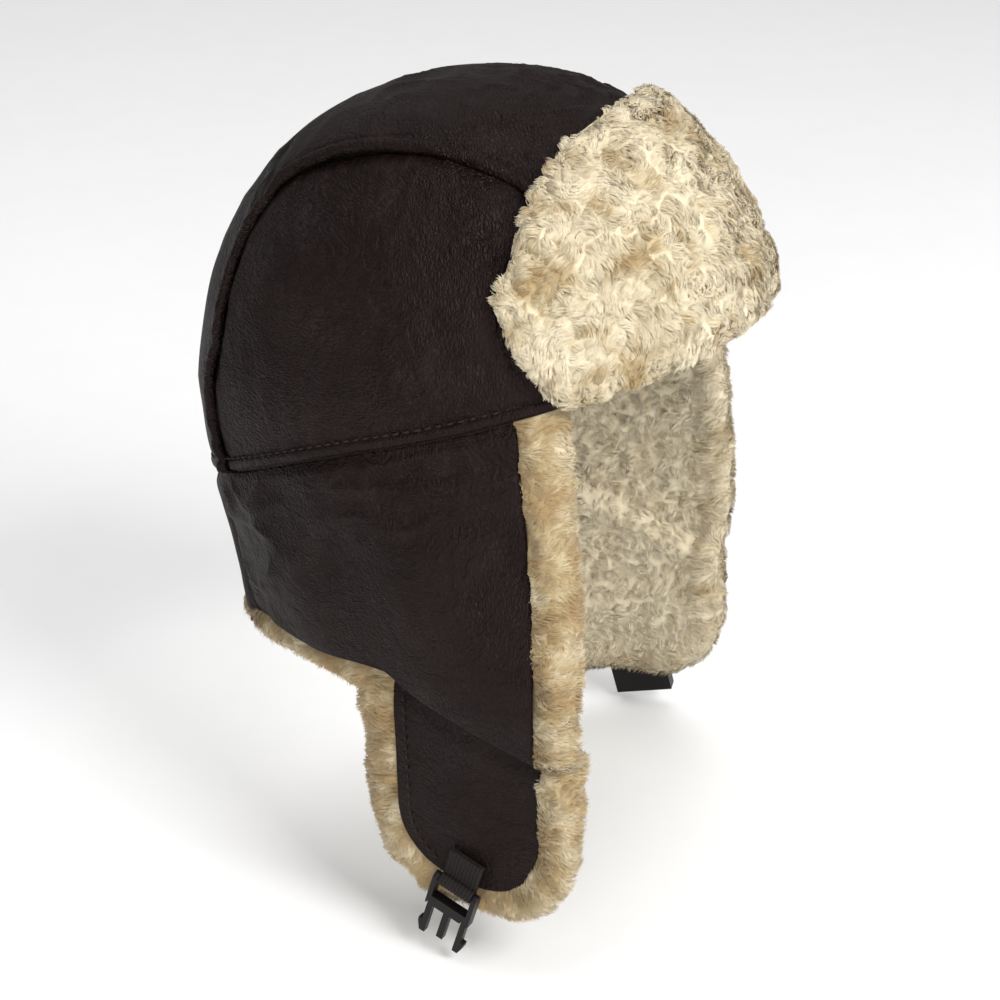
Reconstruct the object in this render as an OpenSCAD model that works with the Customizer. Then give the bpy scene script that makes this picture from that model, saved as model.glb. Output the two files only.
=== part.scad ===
// Trapper hat in brown sheepskin: leather crown, two ear flaps, a neck guard,
// a fur visor turned up at the front, and a side-release chin buckle.
// As worn: Z up, the face looks along -Y, the wearer's right side is -X.
// The origin is the centre of the head opening, in the plane of the hem.

/* [Crown] */
// Half width of the crown at the hem
crown_half_w = 95; // [88:1:102]
// Half length of the crown at the hem
crown_half_l = 117; // [110:1:125]
// Height of the crown above the hem plane
crown_h = 134; // [120:1:145]
// Roundness of the hem over the forehead (2 is an ellipse)
full_front = 2.05; // [2:0.05:2.3]
// Roundness of the hem behind the head (2 is an ellipse)
full_back = 2.4; // [2.2:0.05:2.7]
// Roundness of the crown seen from the side (2 is an ellipse)
full_along = 2.15; // [2:0.05:2.4]
// Half width of the panel that runs over the top from front to back
top_half_w = 53; // [45:1:60]
// Widening of that panel behind the head, on each side
top_widen = 22; // [0:1:24]
// Rise of the hem at the ears
hem_arch = 14; // [8:1:18]
// Height of the hem above its plane over the forehead
hem_front = 14; // [8:1:18]
// Swell of the crown behind the head
back_swell = 10; // [0:1:14]
// Tilt of the hem as worn, front up
hem_tilt = 19; // [14:1:22]

/* [Sheepskin] */
// Thickness of the leather
leather = 2; // [1.2:0.1:2.6]
// Thickness of the quilted crown lining
lining = 3; // [2:0.5:5]
// Depth of the fur inside the flaps and the neck guard
pile = 12; // [8:1:15]
// Fur that shows past the leather's edge at the front and round the tab
fur_edge = 15; // [10:1:18]
// Fur that shows past the leather's edge along the neck
fur_edge_back = 10; // [6:1:15]

/* [Ear flaps] */
// Front end of the flap on the hem, measured forward of the ears
flap_front = 54; // [48:1:60]
// Back seam of the flap, measured forward of the rearmost hem point
seam_inset = 22; // [20:1:26]
// Middle of the chin tab, measured forward of the ears
tab_front = 30; // [26:1:36]
// Half width of the chin tab
tab_half_w = 32; // [26:1:35]
// Drop from the hem plane to where the tab starts to round off
tab_drop = 147; // [130:1:155]
// Height of the tab's rounded end
tab_round = 33; // [25:1:38]
// Squareness of the tab's end (2 is an ellipse)
tab_square = 2.4; // [2:0.1:3]
// Drop from the hem plane to the inner corner behind the tab
corner_drop = 88; // [82:1:98]
// Forward slope of the crease above the tab
crease_slope = 0.42; // [0.3:0.02:0.5]
// Outward swell of the flap between the hem and the tab
flap_swell = 5; // [0:1:8]
// Forward bow of the flap's front edge
front_bow = 6; // [0:1:9]
// Outward lean of the left flap, which hangs a little open
left_lean = 9; // [0:1:12]
// Backward sweep of the left flap's tab
left_sweep = 16; // [0:1:20]

/* [Neck guard] */
// Drop of the neck guard's leather below the hem plane
neck_drop = 59; // [50:1:70]
// Backward flare of the neck guard at its lower edge
neck_flare = 10; // [0:1:14]

/* [Visor] */
// Height of the visor's leather above the hem plane
visor_h = 98; // [85:1:106]
// Turn from straight ahead to the end of the visor's leather
visor_turn = 55; // [48:1:58]
// Share of its height by which the visor stands off the crown's curve
visor_open = 0.1; // [0.09:0.01:0.16]
// Depth of the visor's fur at its middle
visor_pile = 10; // [8:1:16]
// Depth of the visor's fur at its edge
visor_pile_edge = 7; // [5:1:8]
// Visor fur that shows past the leather's edge
visor_fur_edge = 11; // [6:1:14]
// Squareness of the visor's upper corners
visor_square = 3; // [2.5:0.5:5]
// Rise of the visor's lower corners
corner_rise = 34; // [26:1:38]
// Turn over which the lower corners rise
corner_turn = 8; // [5:1:10]

/* [Webbing and buckle] */
// Width of the webbing
webbing_w = 16; // [12:0.5:18]
// Thickness of one layer of webbing
webbing_t = 1.3; // [1:0.1:1.6]
// Length of the webbing sewn to the tab
webbing_sewn = 13; // [10:0.5:16]
// Height of the buckle's bar above the tip of the tab
bar_rise = 1; // [-2:0.5:3]
// Middle of the webbing, measured forward of the ears
webbing_front = 27; // [22:1:33]
// Lean of the right buckle, foot to the back
right_tilt = 17; // [0:1:20]
// Lean of the left buckle, foot to the front
left_tilt = 12; // [0:1:16]
// Diameter of the bar that the webbing loops round
bar_d = 3; // [2.4:0.2:3.6]
// Thickness of the buckle's arms
arm_t = 2.2; // [1.8:0.1:2.8]
// Depth of the buckle, front to back
buckle_depth = 4.4; // [4:0.2:5]
// Length of the frame, from its bar to its cross piece
frame_len = 10; // [9:0.5:13]
// Height of the cross piece that carries the prongs
cross_h = 5; // [4:0.5:6]
// Length of a prong
prong_len = 17; // [14:0.5:19]
// Width of a prong's stem
prong_w = 2.6; // [2:0.1:3]
// Reach of a prong's catch past its stem
catch_reach = 1.6; // [1:0.1:2]
// Height of a prong's catch above its tip
catch_h = 6.4; // [5:0.2:7]
// Length of the catch's flat side
catch_flat = 1.9; // [1:0.1:2.5]
// Length of the centre guide
guide_len = 15; // [12:0.5:16]
// Width of the centre guide
guide_w = 3; // [2.4:0.1:3.6]
// Thickness of the prongs and the guide
prong_depth = 3; // [2.6:0.1:3.2]
// Wall of the socket half
socket_wall = 1.6; // [1.2:0.1:2]
// Height of the release window in the socket's side
window_h = 7; // [5:0.5:8]

/* [Stitching] */
// Length of one stitch
stitch_len = 3; // [2:0.25:3.5]
// Spacing of the stitches
stitch_pitch = 4.6; // [4:0.2:6]
// Thickness of the thread
thread_d = 0.6; // [0.4:0.1:0.9]
// Distance of the stitching from its edge
stitch_inset = 5.5; // [4:0.5:7]
// Turn from the visor's end to the first stitch of the hem
stitch_turn = 8; // [6:1:12]

/* [Clearances] */
// Gap at a sewn seam
seam_gap = 0.25; // [0.2:0.05:0.4]
// Gap between the layers of a panel
layer_gap = 0.8; // [0.6:0.05:1]
// Gap at a seam that folds
fold_gap = 0.4; // [0.3:0.05:0.6]
// Distance of a fold's axis outside the hem
fold_out = 1.5; // [1:0.1:2.5]
// Gap round the bar in the webbing, and at the root of a prong
pin_gap = 0.25; // [0.2:0.05:0.35]
// Clearance between the webbing's edges and the buckle's arms
side_gap = 0.5; // [0.3:0.1:0.8]

/* [Hidden] */

$fn = 48;
leather_brown = "#2c2321";
fur_cream = "#d4c3a0";
thread_brown = "#161110";
webbing_black = "#1c1817";
plastic_black = "#141110";
lining_brown = "#3a2f2b";

// Steps of the soft surfaces
across_steps = 14;
over_steps = 26;
ring_steps = 10;
tab_steps = 12;
rear_steps = 10;
drop_steps = 12;
neck_steps = 16;
visor_steps = 24;
visor_rise_steps = 8;
arc_steps = 160;

// Depths below the leather's face at which the layers start and end
lining_out = leather + layer_gap;
lining_in = lining_out + lining;
fur_out = leather + layer_gap;
fur_in = fur_out + pile;

// The flap's back seam, across the hat
seam_y = crown_half_l + back_swell - seam_inset;
// Share of the flap's hem that the columns of the tab hang from
tab_share = 0.46;
tab_step = 0.02;
// Widening of the tab between its end and the corner behind it
tab_flare = 2;
// Turns over the crown between which its top panel widens
widen_from = 100;
widen_to = 150;
// Heights, as shares of the crown's, between which its swell behind fades out
swell_low = 0.3;
swell_high = 0.65;
// Least height of the visor at its ends, and the roundness of its wings
visor_least = 1.5;
visor_bow = 2.6;
wing_full = full(45);
// Gap between a stitch and the leather
thread_gap = 0.15;
// Overlap of shapes that are joined, and reach of cuts past a face
overlap = 1;

// Fold axes, in the crown's frame
flap_axis_x = crown_half_w + fold_out;
flap_axis_z = hem_arch + fold_gap;

// Buckle sizes that follow from the webbing
arm_x = webbing_w / 2 + side_gap;
buckle_w = 2 * (arm_x + arm_t);
bar_seat = bar_d / 2 + pin_gap;
socket_len = prong_len + cross_h / 2;
prong_x = buckle_w / 2 - prong_w / 2 - 1;

function mix(a, b, t) = a + (b - a) * t;
function unit(v) = min(1, max(0, v));
function eased(t) = t * t * (3 - 2 * t);
function in_degrees(arc, radius) = arc / radius * 180 / PI;
function sign_pow(v, e) = sign(v) * pow(abs(v), e);
function oval(v, half, full) = pow(max(0, 1 - pow(abs(v) / half, full)), 1 / full);
function flat_list(rows) = [for (row = rows) for (p = row) p];

// Turns a point (y, z) between the frame of the crown, whose hem is level, and the hat as worn
function turned(q, a) = [q[0] * cos(a) + q[1] * sin(a), q[1] * cos(a) - q[0] * sin(a)];
function to_worn(q) = turned(q, hem_tilt);
function to_crown(q) = turned(q, -hem_tilt);

// Roundness over the crown from the forehead (0) to behind the head (180), and at either end of the hem
function full(turn) = mix(full_front, full_back, eased(turn / 180));
function end_full(y) = y < 0 ? full_front : full_back;
// The back of the hem is drawn out by the swell, and the neck guard flares on from it
function stretch(z) = 1 + (back_swell + neck_flare * unit(-z / neck_drop)) / crown_half_l;
function level_y(y, z) = y > 0 ? y / stretch(z) : y;
// Height of the hem above its plane, from the back of the level outline to its front
function level_z(y) = hem_arch - (y > 0 ? hem_arch : hem_arch - hem_front) * pow(y / crown_half_l, 2);
function hem_z(y) = level_z(level_y(y, 0));
// Outline of the hem, and of the skirt that hangs from it, at a depth below the leather's face
function hem_x(y, z, depth) = (crown_half_w - depth) * oval(level_y(y, z), crown_half_l - depth, end_full(y));
function hem_y(x, z, depth) = (crown_half_l - depth) * oval(x, crown_half_w - depth, full_back) * stretch(z);
function hem_pt(turn) = let (e = 2 / end_full(-cos(turn)), y = -crown_half_l * sign_pow(cos(turn), e))
    [crown_half_w * sign_pow(sin(turn), e), y > 0 ? y * stretch(0) : y];

// The crown: a rounded dome with a swell behind and an arched hem
function swell_at(h) = back_swell * unit((swell_high - h) / (swell_high - swell_low));
function settle(p) = [p[0],
    p[1] + swell_at(p[2] / crown_h) * unit(p[1] / crown_half_l),
    p[2] + level_z(p[1]) * unit(1 - p[2] / crown_h)];
function crown_pt(x, ring, turn, depth) = settle([x,
    -(crown_half_l - depth) * ring * sign_pow(cos(turn), 2 / full_along),
    (crown_h - depth) * ring * pow(abs(sin(turn)), 2 / full_along)]);
function over_turn(j) = 180 * j / over_steps;
function top_half(turn) = top_half_w + top_widen * eased(unit((turn - widen_from) / (widen_to - widen_from)));

function top_grid(depth) =
    [for (i = [0:across_steps])
        [for (j = [0:over_steps]) let (turn = over_turn(j), edge = top_half(turn) - seam_gap / 2,
            x = mix(-edge, edge, i / across_steps))
            crown_pt(x, oval(x, crown_half_w - depth, full(turn)), turn, depth)]];

function side_grid(side, depth) = let (half = crown_half_w - depth)
    [for (i = [0:ring_steps - 1])
        [for (j = [0:over_steps]) let (turn = over_turn(j),
            ring = oval(top_half(turn) + seam_gap / 2, half, full(turn)) * (1 - i / ring_steps))
            crown_pt(side * half * oval(ring, 1, full(turn)), ring, turn, depth)]];

function lining_grid(depth) = let (half = crown_half_w - depth)
    [for (i = [1:across_steps - 1]) let (a = 180 * i / across_steps)
        [for (j = [0:over_steps]) let (turn = over_turn(j), e = 2 / full(turn))
            crown_pt(-half * sign_pow(cos(a), e), pow(sin(a), e), turn, depth)]];

function crown_pole(side, depth) = crown_pt(side * (crown_half_w - depth), 0, 90, depth);

// The flap: columns that hang from the hem to the tab's edge, on the wearer's right
function flap_top(u, grow) = let (y = mix(-flap_front - grow, seam_y, u)) [y, hem_z(y) - fold_gap];
function tab_edge(turn, grow) = let (e = 2 / tab_square)
    [-tab_front - (tab_half_w + grow) * sign_pow(cos(turn), e),
    -tab_drop - (tab_round + grow) * pow(abs(sin(turn)), e)];
// Growth of the lower edge along the neck, where the fur shows less
function back_grow(grow) = grow * fur_edge_back / fur_edge;
function flap_low(u, grow) = u <= tab_share
    ? tab_edge(180 * u / tab_share, grow)
    : let (start = [-tab_front + tab_half_w + grow + tab_flare, -corner_drop - back_grow(grow)],
        end = to_worn([seam_y, -neck_drop - back_grow(grow)]))
        mix(start, end, (u - tab_share - tab_step) / (1 - tab_share - tab_step));
function sway(q, sweep, u) = let (top = to_worn(flap_top(u, 0))[1])
    q + [sweep * unit((top - q[1]) / tab_drop) * (1 - pow(u, 4)), 0];
function crease_z(y) = -corner_drop + crease_slope * min(0, y);
function flap_out(q, top, u) = let (fall = unit((top[1] - q[1]) / (top[1] - crease_z(q[0]))))
    flap_swell * sin(180 * fall) * (1 - pow(u, 3));
function flap_at(q, depth, out) = let (c = to_crown(q)) [-hem_x(c[0], c[1], depth) - out, c[0], c[1]];
function flap_pt(u, v, depth, grow, sweep) = let (
    top = to_worn(flap_top(u, grow)),
    q = mix(top, flap_low(u, grow), v) - [front_bow * sin(180 * v) * pow(1 - u, 4), 0])
    flap_at(sway(q, sweep, u), depth, flap_out(q, top, u));
function flap_columns() = concat(
    [for (i = [0:tab_steps]) tab_share * i / tab_steps],
    [for (i = [0:rear_steps]) mix(tab_share + tab_step, 1, i / rear_steps)]);
function flap_grid(depth, grow, sweep) = [for (u = flap_columns())
    [for (j = [0:drop_steps]) flap_pt(u, j / drop_steps, depth, grow, sweep)]];

// The neck guard: the skirt between the two back seams
function neck_pt(share, z, depth) = let (x = share * hem_x(seam_y + fold_gap, z, depth))
    [x, hem_y(x, z, depth), z];
function neck_grid(depth, grow) = [for (i = [0:neck_steps])
    let (share = 2 * i / neck_steps - 1,
        top = hem_z(neck_pt(share, 0, depth)[1]) - fold_gap,
        low = -neck_drop - back_grow(grow))
        [for (j = [0:drop_steps]) neck_pt(share, mix(top, low, j / drop_steps), depth)]];

// The visor: a wall round the front of the hem that leans back as it rises
function visor_pt(turn, z, out) = let (
    base = level_z(hem_pt(turn)[1]),
    rise = (1 - visor_open) * max(0, (z - base) / (crown_h - base)), stand = fold_gap + out,
    x = (stand + crown_half_w * oval(rise, 1, wing_full)) * sign_pow(sin(turn), 2 / full_front),
    y = -(stand + crown_half_l * oval(rise, 1, full_along)) * sign_pow(cos(turn), 2 / full_front)) [x, y, z];
function visor_low(turn, end) = hem_z(hem_pt(turn)[1]) + fold_gap
    + corner_rise * pow(unit((abs(turn) - end + corner_turn) / corner_turn), 2);
function visor_top(turn, end, high) = let (low = visor_low(turn, end) + visor_least)
    low + (high - low) * pow(1 - pow(unit(abs(turn) / end), visor_square), 1 / visor_bow);
function visor_grid(end, high, near, middle) =
    [for (i = [0:visor_steps]) let (turn = mix(-end, end, i / visor_steps))
        [for (j = [0:visor_rise_steps]) let (v = j / visor_rise_steps,
            z = mix(visor_low(turn, end), visor_top(turn, end, high), v),
            puff = (1 - pow(abs(2 * v - 1), 4)) * (1 - pow(abs(turn) / end, 4)))
            visor_pt(turn, z, mix(near, middle, puff))]];

// A closed skin between an outer and an inner grid of points. A start or end holds an
// outer and an inner point where the grid's first or last row closes to a tip.
module skin(outer, inner, start = [], end = [], flip = false) {
    m = len(outer) - 1;
    n = len(outer[0]) - 1;
    count = (m + 1) * (n + 1);
    s = 2 * count;
    e = s + len(start);
    function at(i, j) = i * (n + 1) + j;
    function in(k) = k + (k < count ? count : 1);
    function quad(p, q, r, t) = [[p, q, r], [p, r, t]];
    function wall(p, q) = quad(p, q, in(q), in(p));
    function pair(t) = [t, [in(t[0]), in(t[2]), in(t[1])]];
    skins = [for (i = [0:m - 1]) for (j = [0:n - 1])
        for (t = quad(at(i, j), at(i + 1, j), at(i + 1, j + 1), at(i, j + 1))) for (f = pair(t)) f];
    sides = [for (i = [0:m - 1])
        for (f = concat(wall(at(i + 1, 0), at(i, 0)), wall(at(i, n), at(i + 1, n)))) f];
    first = len(start) == 0
        ? [for (j = [0:n - 1]) for (f = wall(at(0, j), at(0, j + 1))) f]
        : concat([for (j = [0:n - 1]) for (f = pair([at(0, j), at(0, j + 1), s])) f],
            wall(at(0, 0), s), wall(s, at(0, n)));
    last = len(end) == 0
        ? [for (j = [0:n - 1]) for (f = wall(at(m, j + 1), at(m, j))) f]
        : concat([for (j = [0:n - 1]) for (f = pair([at(m, j + 1), at(m, j), e])) f],
            wall(e, at(m, 0)), wall(at(m, n), e));
    polyhedron(concat(flat_list(outer), flat_list(inner), start, end),
        [for (f = concat(skins, sides, first, last)) flip ? f : [f[0], f[2], f[1]]], convexity = 6);
}

// Sets its children from the crown's level frame to the hat as worn
module worn() { rotate([-hem_tilt, 0, 0]) children(); }

// Sets its children, made for the right flap, on the left one
module left_side() {
    translate([flap_axis_x, 0, flap_axis_z]) rotate([0, -left_lean, 0])
        translate([-flap_axis_x, 0, -flap_axis_z]) mirror([1, 0, 0]) children();
}

// One stitch from p to q, on a face that looks along the direction out
module stitch(p, q, out) {
    d = q - p;
    translate((p + q) / 2 + out * (thread_d / 2 + thread_gap))
        rotate([0, -atan2(d[2], norm([d[0], d[1]])), atan2(d[1], d[0])])
            cube([stitch_len, thread_d, thread_d], center = true);
}

// Points at equal steps along a path, each with its next one a stitch further on
function travelled(path) = [for (i = 0, s = 0; i < len(path);
    s = i + 1 < len(path) ? s + norm(path[i + 1] - path[i]) : s, i = i + 1) [s, i]];
function walk(path, table, s) = let (k = lookup(s, table), i = min(floor(k), len(path) - 2))
    mix(path[i], path[i + 1], k - i);
function steps(path) = let (table = travelled(path), whole = table[len(table) - 1][0])
    [for (k = [0:floor((whole - stitch_len) / stitch_pitch)])
        [for (s = [0, stitch_len]) walk(path, table, k * stitch_pitch + s)]];

module crown_top_panel() {
    color(leather_brown) worn() skin(top_grid(0), top_grid(leather));
}

module crown_side(side) {
    color(leather_brown) worn() skin(side_grid(side, 0), side_grid(side, leather),
        end = [crown_pole(side, 0), crown_pole(side, leather)], flip = side < 0);
}

module crown_side_panel_right() { crown_side(-1); }

module crown_side_panel_left() { crown_side(1); }

module crown_lining() {
    color(lining_brown) worn() skin(lining_grid(lining_out), lining_grid(lining_in),
        start = [crown_pole(-1, lining_out), crown_pole(-1, lining_in)],
        end = [crown_pole(1, lining_out), crown_pole(1, lining_in)]);
}

// A line of stitches above the hem, from one end of the visor round the back to the other
module hem_stitches() {
    start = visor_turn + stitch_turn;
    path = [for (i = [0:arc_steps]) let (h = hem_pt(mix(start, 360 - start, i / arc_steps)))
        [h[0], h[1], hem_z(h[1]) + stitch_inset]];
    color(thread_brown) worn() for (s = steps(path)) let (d = s[1] - s[0], out = [d[1], -d[0], 0])
        stitch(s[0], s[1], out / norm(out));
}

module neck_panel() {
    color(leather_brown) worn() skin(neck_grid(0, 0), neck_grid(leather, 0));
}

module neck_fur() {
    color(fur_cream) worn() skin(neck_grid(fur_out, fur_edge), neck_grid(fur_in, fur_edge));
}

module visor_panel() {
    color(leather_brown) worn() skin(
        visor_grid(visor_turn, visor_h, leather, leather),
        visor_grid(visor_turn, visor_h, 0, 0));
}

module visor_fur() {
    end = visor_turn + in_degrees(visor_fur_edge, crown_half_w);
    near = leather + layer_gap;
    color(fur_cream) worn() skin(
        visor_grid(end, visor_h + visor_fur_edge, near + visor_pile_edge, near + visor_pile),
        visor_grid(end, visor_h + visor_fur_edge, near, near));
}

module flap_panel(sweep) {
    color(leather_brown) skin(flap_grid(0, 0, sweep), flap_grid(leather, 0, sweep));
}

module flap_fur(sweep) {
    color(fur_cream) skin(flap_grid(fur_out, fur_edge, sweep), flap_grid(fur_in, fur_edge, sweep));
}

// A line of stitches down the back edge of the tab, as far as the webbing
module flap_stitches(sweep) {
    top = [tab_edge(180, -stitch_inset)[0], -corner_drop - stitch_inset];
    reach = (webbing_front - tab_front - webbing_w / 2 - stitch_inset) / (tab_half_w - stitch_inset);
    stop = acos(max(-1, sign_pow(reach, tab_square / 2)));
    line = concat([for (i = [0:tab_steps]) mix(top, tab_edge(180, -stitch_inset), i / tab_steps)],
        [for (i = [1:tab_steps]) tab_edge(mix(180, stop, i / tab_steps), -stitch_inset)]);
    path = [for (q = line) flap_at(sway(q, sweep, tab_share), 0, 0)];
    color(thread_brown) for (s = steps(path)) stitch(s[0], s[1], [-1, 0, 0]);
}

// Sets its children on the tab's outer face: X across to the back, Y outward, Z up along the webbing
module at_bar(tilt, sweep) {
    tip = to_crown(sway([-webbing_front, -tab_drop - tab_round + bar_rise], sweep, tab_share / 2));
    sides = [for (s = [-1, 1]) hem_x(tip[0] + s * webbing_w / 2, tip[1], 0)];
    slope = atan2(sides[0] - sides[1], webbing_w);
    translate([-hem_x(tip[0], tip[1], 0), tip[0], tip[1]])
        rotate([0, 0, -slope]) rotate([hem_tilt + tilt, 0, 0]) rotate([0, 0, 90])
            translate([0, bar_seat + webbing_t + fold_gap, 0]) children();
}

// Places a shape drawn in (Y, Z) and drawn out along X, centred
module across(w) {
    rotate([90, 0, 90]) translate([0, 0, -w / 2]) linear_extrude(w) children();
}

// Two layers of webbing sewn to the tab, with a loop round the buckle's bar
module webbing() {
    back = -bar_seat - webbing_t;
    color(webbing_black) across(webbing_w) difference() {
        union() {
            circle(bar_seat + webbing_t);
            translate([back, 0]) square([2 * webbing_t, bar_seat + webbing_t + webbing_sewn]);
        }
        circle(bar_seat);
    }
}

// Arms and bar that the webbing carries, shared by both halves of the buckle
module bar_and_arms() {
    rotate([0, 90, 0]) cylinder(d = bar_d, h = 2 * arm_x + arm_t, center = true);
    for (s = [-1, 1]) translate([s * (arm_x + arm_t / 2), 0, 0]) across(arm_t) {
        circle(d = buckle_depth);
        translate([-buckle_depth / 2, -frame_len]) square([buckle_depth, frame_len]);
    }
}

module male_frame() {
    color(plastic_black) {
        bar_and_arms();
        difference() {
            translate([-buckle_w / 2, -buckle_depth / 2, -frame_len - cross_h])
                cube([buckle_w, buckle_depth, cross_h]);
            for (s = [-1, 1]) translate([s * prong_x, 0, -frame_len - cross_h]) rotate([90, 0, 0])
                cylinder(d = prong_w + 2 * pin_gap, h = buckle_depth + 2 * overlap, center = true);
        }
        translate([-guide_w / 2, -prong_depth / 2, -frame_len - cross_h - guide_len])
            cube([guide_w, prong_depth, guide_len + overlap]);
    }
}

// A springy prong with its round root in the cross piece and a catch near its tip
module male_prong(side) {
    edge = -prong_w / 2;
    color(plastic_black) translate([side * prong_x, 0, -frame_len - cross_h])
        mirror([side > 0 ? 1 : 0, 0, 0]) rotate([90, 0, 0]) translate([0, 0, -prong_depth / 2])
            linear_extrude(prong_depth) union() {
                circle(d = prong_w);
                translate([edge, -prong_len]) square([prong_w, prong_len]);
                polygon([[0, -prong_len + catch_h + overlap / 2],
                    [edge - catch_reach, -prong_len + catch_h],
                    [edge - catch_reach, -prong_len + catch_h - catch_flat],
                    [edge, -prong_len], [0, -prong_len]]);
            }
}

// The socket half: a flat box open at its foot, with a release window in each side
module female_shell() {
    depth = prong_depth + 2 * pin_gap + 2 * socket_wall;
    wide = buckle_w + 2 * catch_reach + 2 * socket_wall;
    foot = -frame_len - cross_h - socket_len;
    color(plastic_black) {
        bar_and_arms();
        difference() {
            translate([-wide / 2, -depth / 2, foot]) cube([wide, depth, cross_h + socket_len]);
            translate([-wide / 2 + socket_wall, -depth / 2 + socket_wall, foot - overlap])
                cube([wide - 2 * socket_wall, depth - 2 * socket_wall, socket_len + overlap]);
            translate([-wide, -depth / 2 + socket_wall, -frame_len - cross_h - window_h])
                cube([2 * wide, depth - 2 * socket_wall, window_h]);
        }
    }
}

module right_flap_panel() { worn() flap_panel(0); }

module right_flap_fur() { worn() flap_fur(0); }

module right_flap_stitches() { worn() flap_stitches(0); }

module right_webbing() { worn() at_bar(right_tilt, 0) webbing(); }

module left_flap_panel() { worn() left_side() flap_panel(left_sweep); }

module left_flap_fur() { worn() left_side() flap_fur(left_sweep); }

module left_flap_stitches() { worn() left_side() flap_stitches(left_sweep); }

module left_webbing() { worn() left_side() at_bar(-left_tilt, left_sweep) webbing(); }

module male_buckle() { worn() at_bar(right_tilt, 0) male_frame(); }

module male_prong_front() { worn() at_bar(right_tilt, 0) male_prong(-1); }

module male_prong_rear() { worn() at_bar(right_tilt, 0) male_prong(1); }

module female_buckle() { worn() left_side() at_bar(-left_tilt, left_sweep) female_shell(); }

crown_top_panel();
crown_side_panel_right();
crown_side_panel_left();
crown_lining();
hem_stitches();
neck_panel();
neck_fur();
visor_panel();
visor_fur();
right_flap_panel();
right_flap_fur();
right_flap_stitches();
right_webbing();
left_flap_panel();
left_flap_fur();
left_flap_stitches();
left_webbing();
male_buckle();
male_prong_front();
male_prong_rear();
female_buckle();
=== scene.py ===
import math

import bpy
import numpy as np
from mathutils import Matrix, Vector


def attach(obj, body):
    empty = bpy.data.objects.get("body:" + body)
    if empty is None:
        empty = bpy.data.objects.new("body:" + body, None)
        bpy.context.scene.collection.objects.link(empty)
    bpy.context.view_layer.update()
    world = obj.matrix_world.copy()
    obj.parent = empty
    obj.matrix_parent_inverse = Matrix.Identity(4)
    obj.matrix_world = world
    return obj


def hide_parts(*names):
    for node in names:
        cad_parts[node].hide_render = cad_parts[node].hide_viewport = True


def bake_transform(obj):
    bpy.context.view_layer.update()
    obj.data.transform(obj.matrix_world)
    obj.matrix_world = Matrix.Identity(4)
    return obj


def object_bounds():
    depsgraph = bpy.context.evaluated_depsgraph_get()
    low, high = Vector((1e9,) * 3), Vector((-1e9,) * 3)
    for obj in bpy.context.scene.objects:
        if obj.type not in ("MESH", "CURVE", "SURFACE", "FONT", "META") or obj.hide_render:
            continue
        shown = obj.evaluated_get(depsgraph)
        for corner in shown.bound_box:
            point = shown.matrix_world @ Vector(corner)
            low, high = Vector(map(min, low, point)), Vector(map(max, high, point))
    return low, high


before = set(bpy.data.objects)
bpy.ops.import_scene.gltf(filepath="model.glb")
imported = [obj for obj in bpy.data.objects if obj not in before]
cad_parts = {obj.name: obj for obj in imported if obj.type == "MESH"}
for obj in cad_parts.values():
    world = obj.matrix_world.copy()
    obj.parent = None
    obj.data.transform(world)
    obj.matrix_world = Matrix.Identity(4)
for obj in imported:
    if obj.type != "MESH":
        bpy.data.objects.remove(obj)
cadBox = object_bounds()
print("frame loaded:", len(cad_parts), "nodes")

# The hat's sizes, in millimetres and degrees, in the crown's own frame with a level hem
hat = dict(
    halfW=95, halfL=117, high=134, fullFront=2.05, fullBack=2.4, fullAlong=2.15,
    topHalfW=53, topWiden=22, widenFrom=100, widenTo=150,
    hemArch=14, hemFront=14, backSwell=10, swellLow=0.3, swellHigh=0.65, tilt=19,
    leather=2, layerGap=0.8, lining=3, furEdge=15, furEdgeBack=10,
    flapFront=54, seamInset=22, tabFront=30, tabHalfW=32, tabDrop=147, tabRound=33, tabSquare=2.4,
    cornerDrop=88, tabFlare=2, tabShare=0.46, frontBow=6,
    leftLean=9, leftSweep=16, neckDrop=59, neckFlare=10, foldGap=0.4, foldOut=1.5,
    visorHigh=98, visorTurn=55, visorOpen=0.1, visorSquare=3, visorBow=2.6, visorLeast=1.5,
    cornerRise=34, cornerTurn=8, stitchInset=5.5, stitchLong=3, stitchPitch=4.6, stitchTurn=8,
    webbingW=16, webbingT=1.3, webbingSewn=13, webbingFront=27, barRise=1, barD=3, pinGap=0.25,
    rightTilt=17, leftTilt=12)
millimetre = 0.001
seamY = hat["halfL"] + hat["backSwell"] - hat["seamInset"]
furOut = hat["leather"] + hat["layerGap"]


def mix(a, b, t):  # a where t is 0, b where it is 1, in proportion between
    return a + (b - a) * t


def unit(v):  # limited to between 0 and 1
    return np.clip(v, 0, 1)


def smooth(v):  # eased step from 0 to 1
    t = unit(v)
    return t * t * (3 - 2 * t)


def bell(v, wide):  # soft bump round 0
    return np.exp(-(v / wide) ** 2)


def signPow(v, e):  # a power of the size, with the sign kept
    return np.sign(v) * np.abs(v) ** e


def oval(v, half, full):  # height of a rounded outline over the place v
    return np.maximum(0, 1 - (np.abs(v) / half) ** full) ** (1 / full)


def stack(*parts):  # coordinates joined into points
    return np.stack(np.broadcast_arrays(*parts), axis=-1)


def unitVectors(v):  # vectors divided by their lengths
    return v / np.maximum(np.linalg.norm(v, axis=-1, keepdims=True), 1e-9)


def across(v, normals):  # what is left of vectors once their share along the normals is taken away
    return v - normals * np.sum(v * normals, axis=-1, keepdims=True)


def turnedYz(p, degrees):  # turns points about X
    p = np.asarray(p, float)
    c, s = math.cos(math.radians(degrees)), math.sin(math.radians(degrees))
    return stack(p[..., 0], p[..., 1] * c + p[..., 2] * s, p[..., 2] * c - p[..., 1] * s)


def toWorn(p):  # from the crown's level frame to the hat as worn, tilted back
    return turnedYz(p, hat["tilt"])


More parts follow.
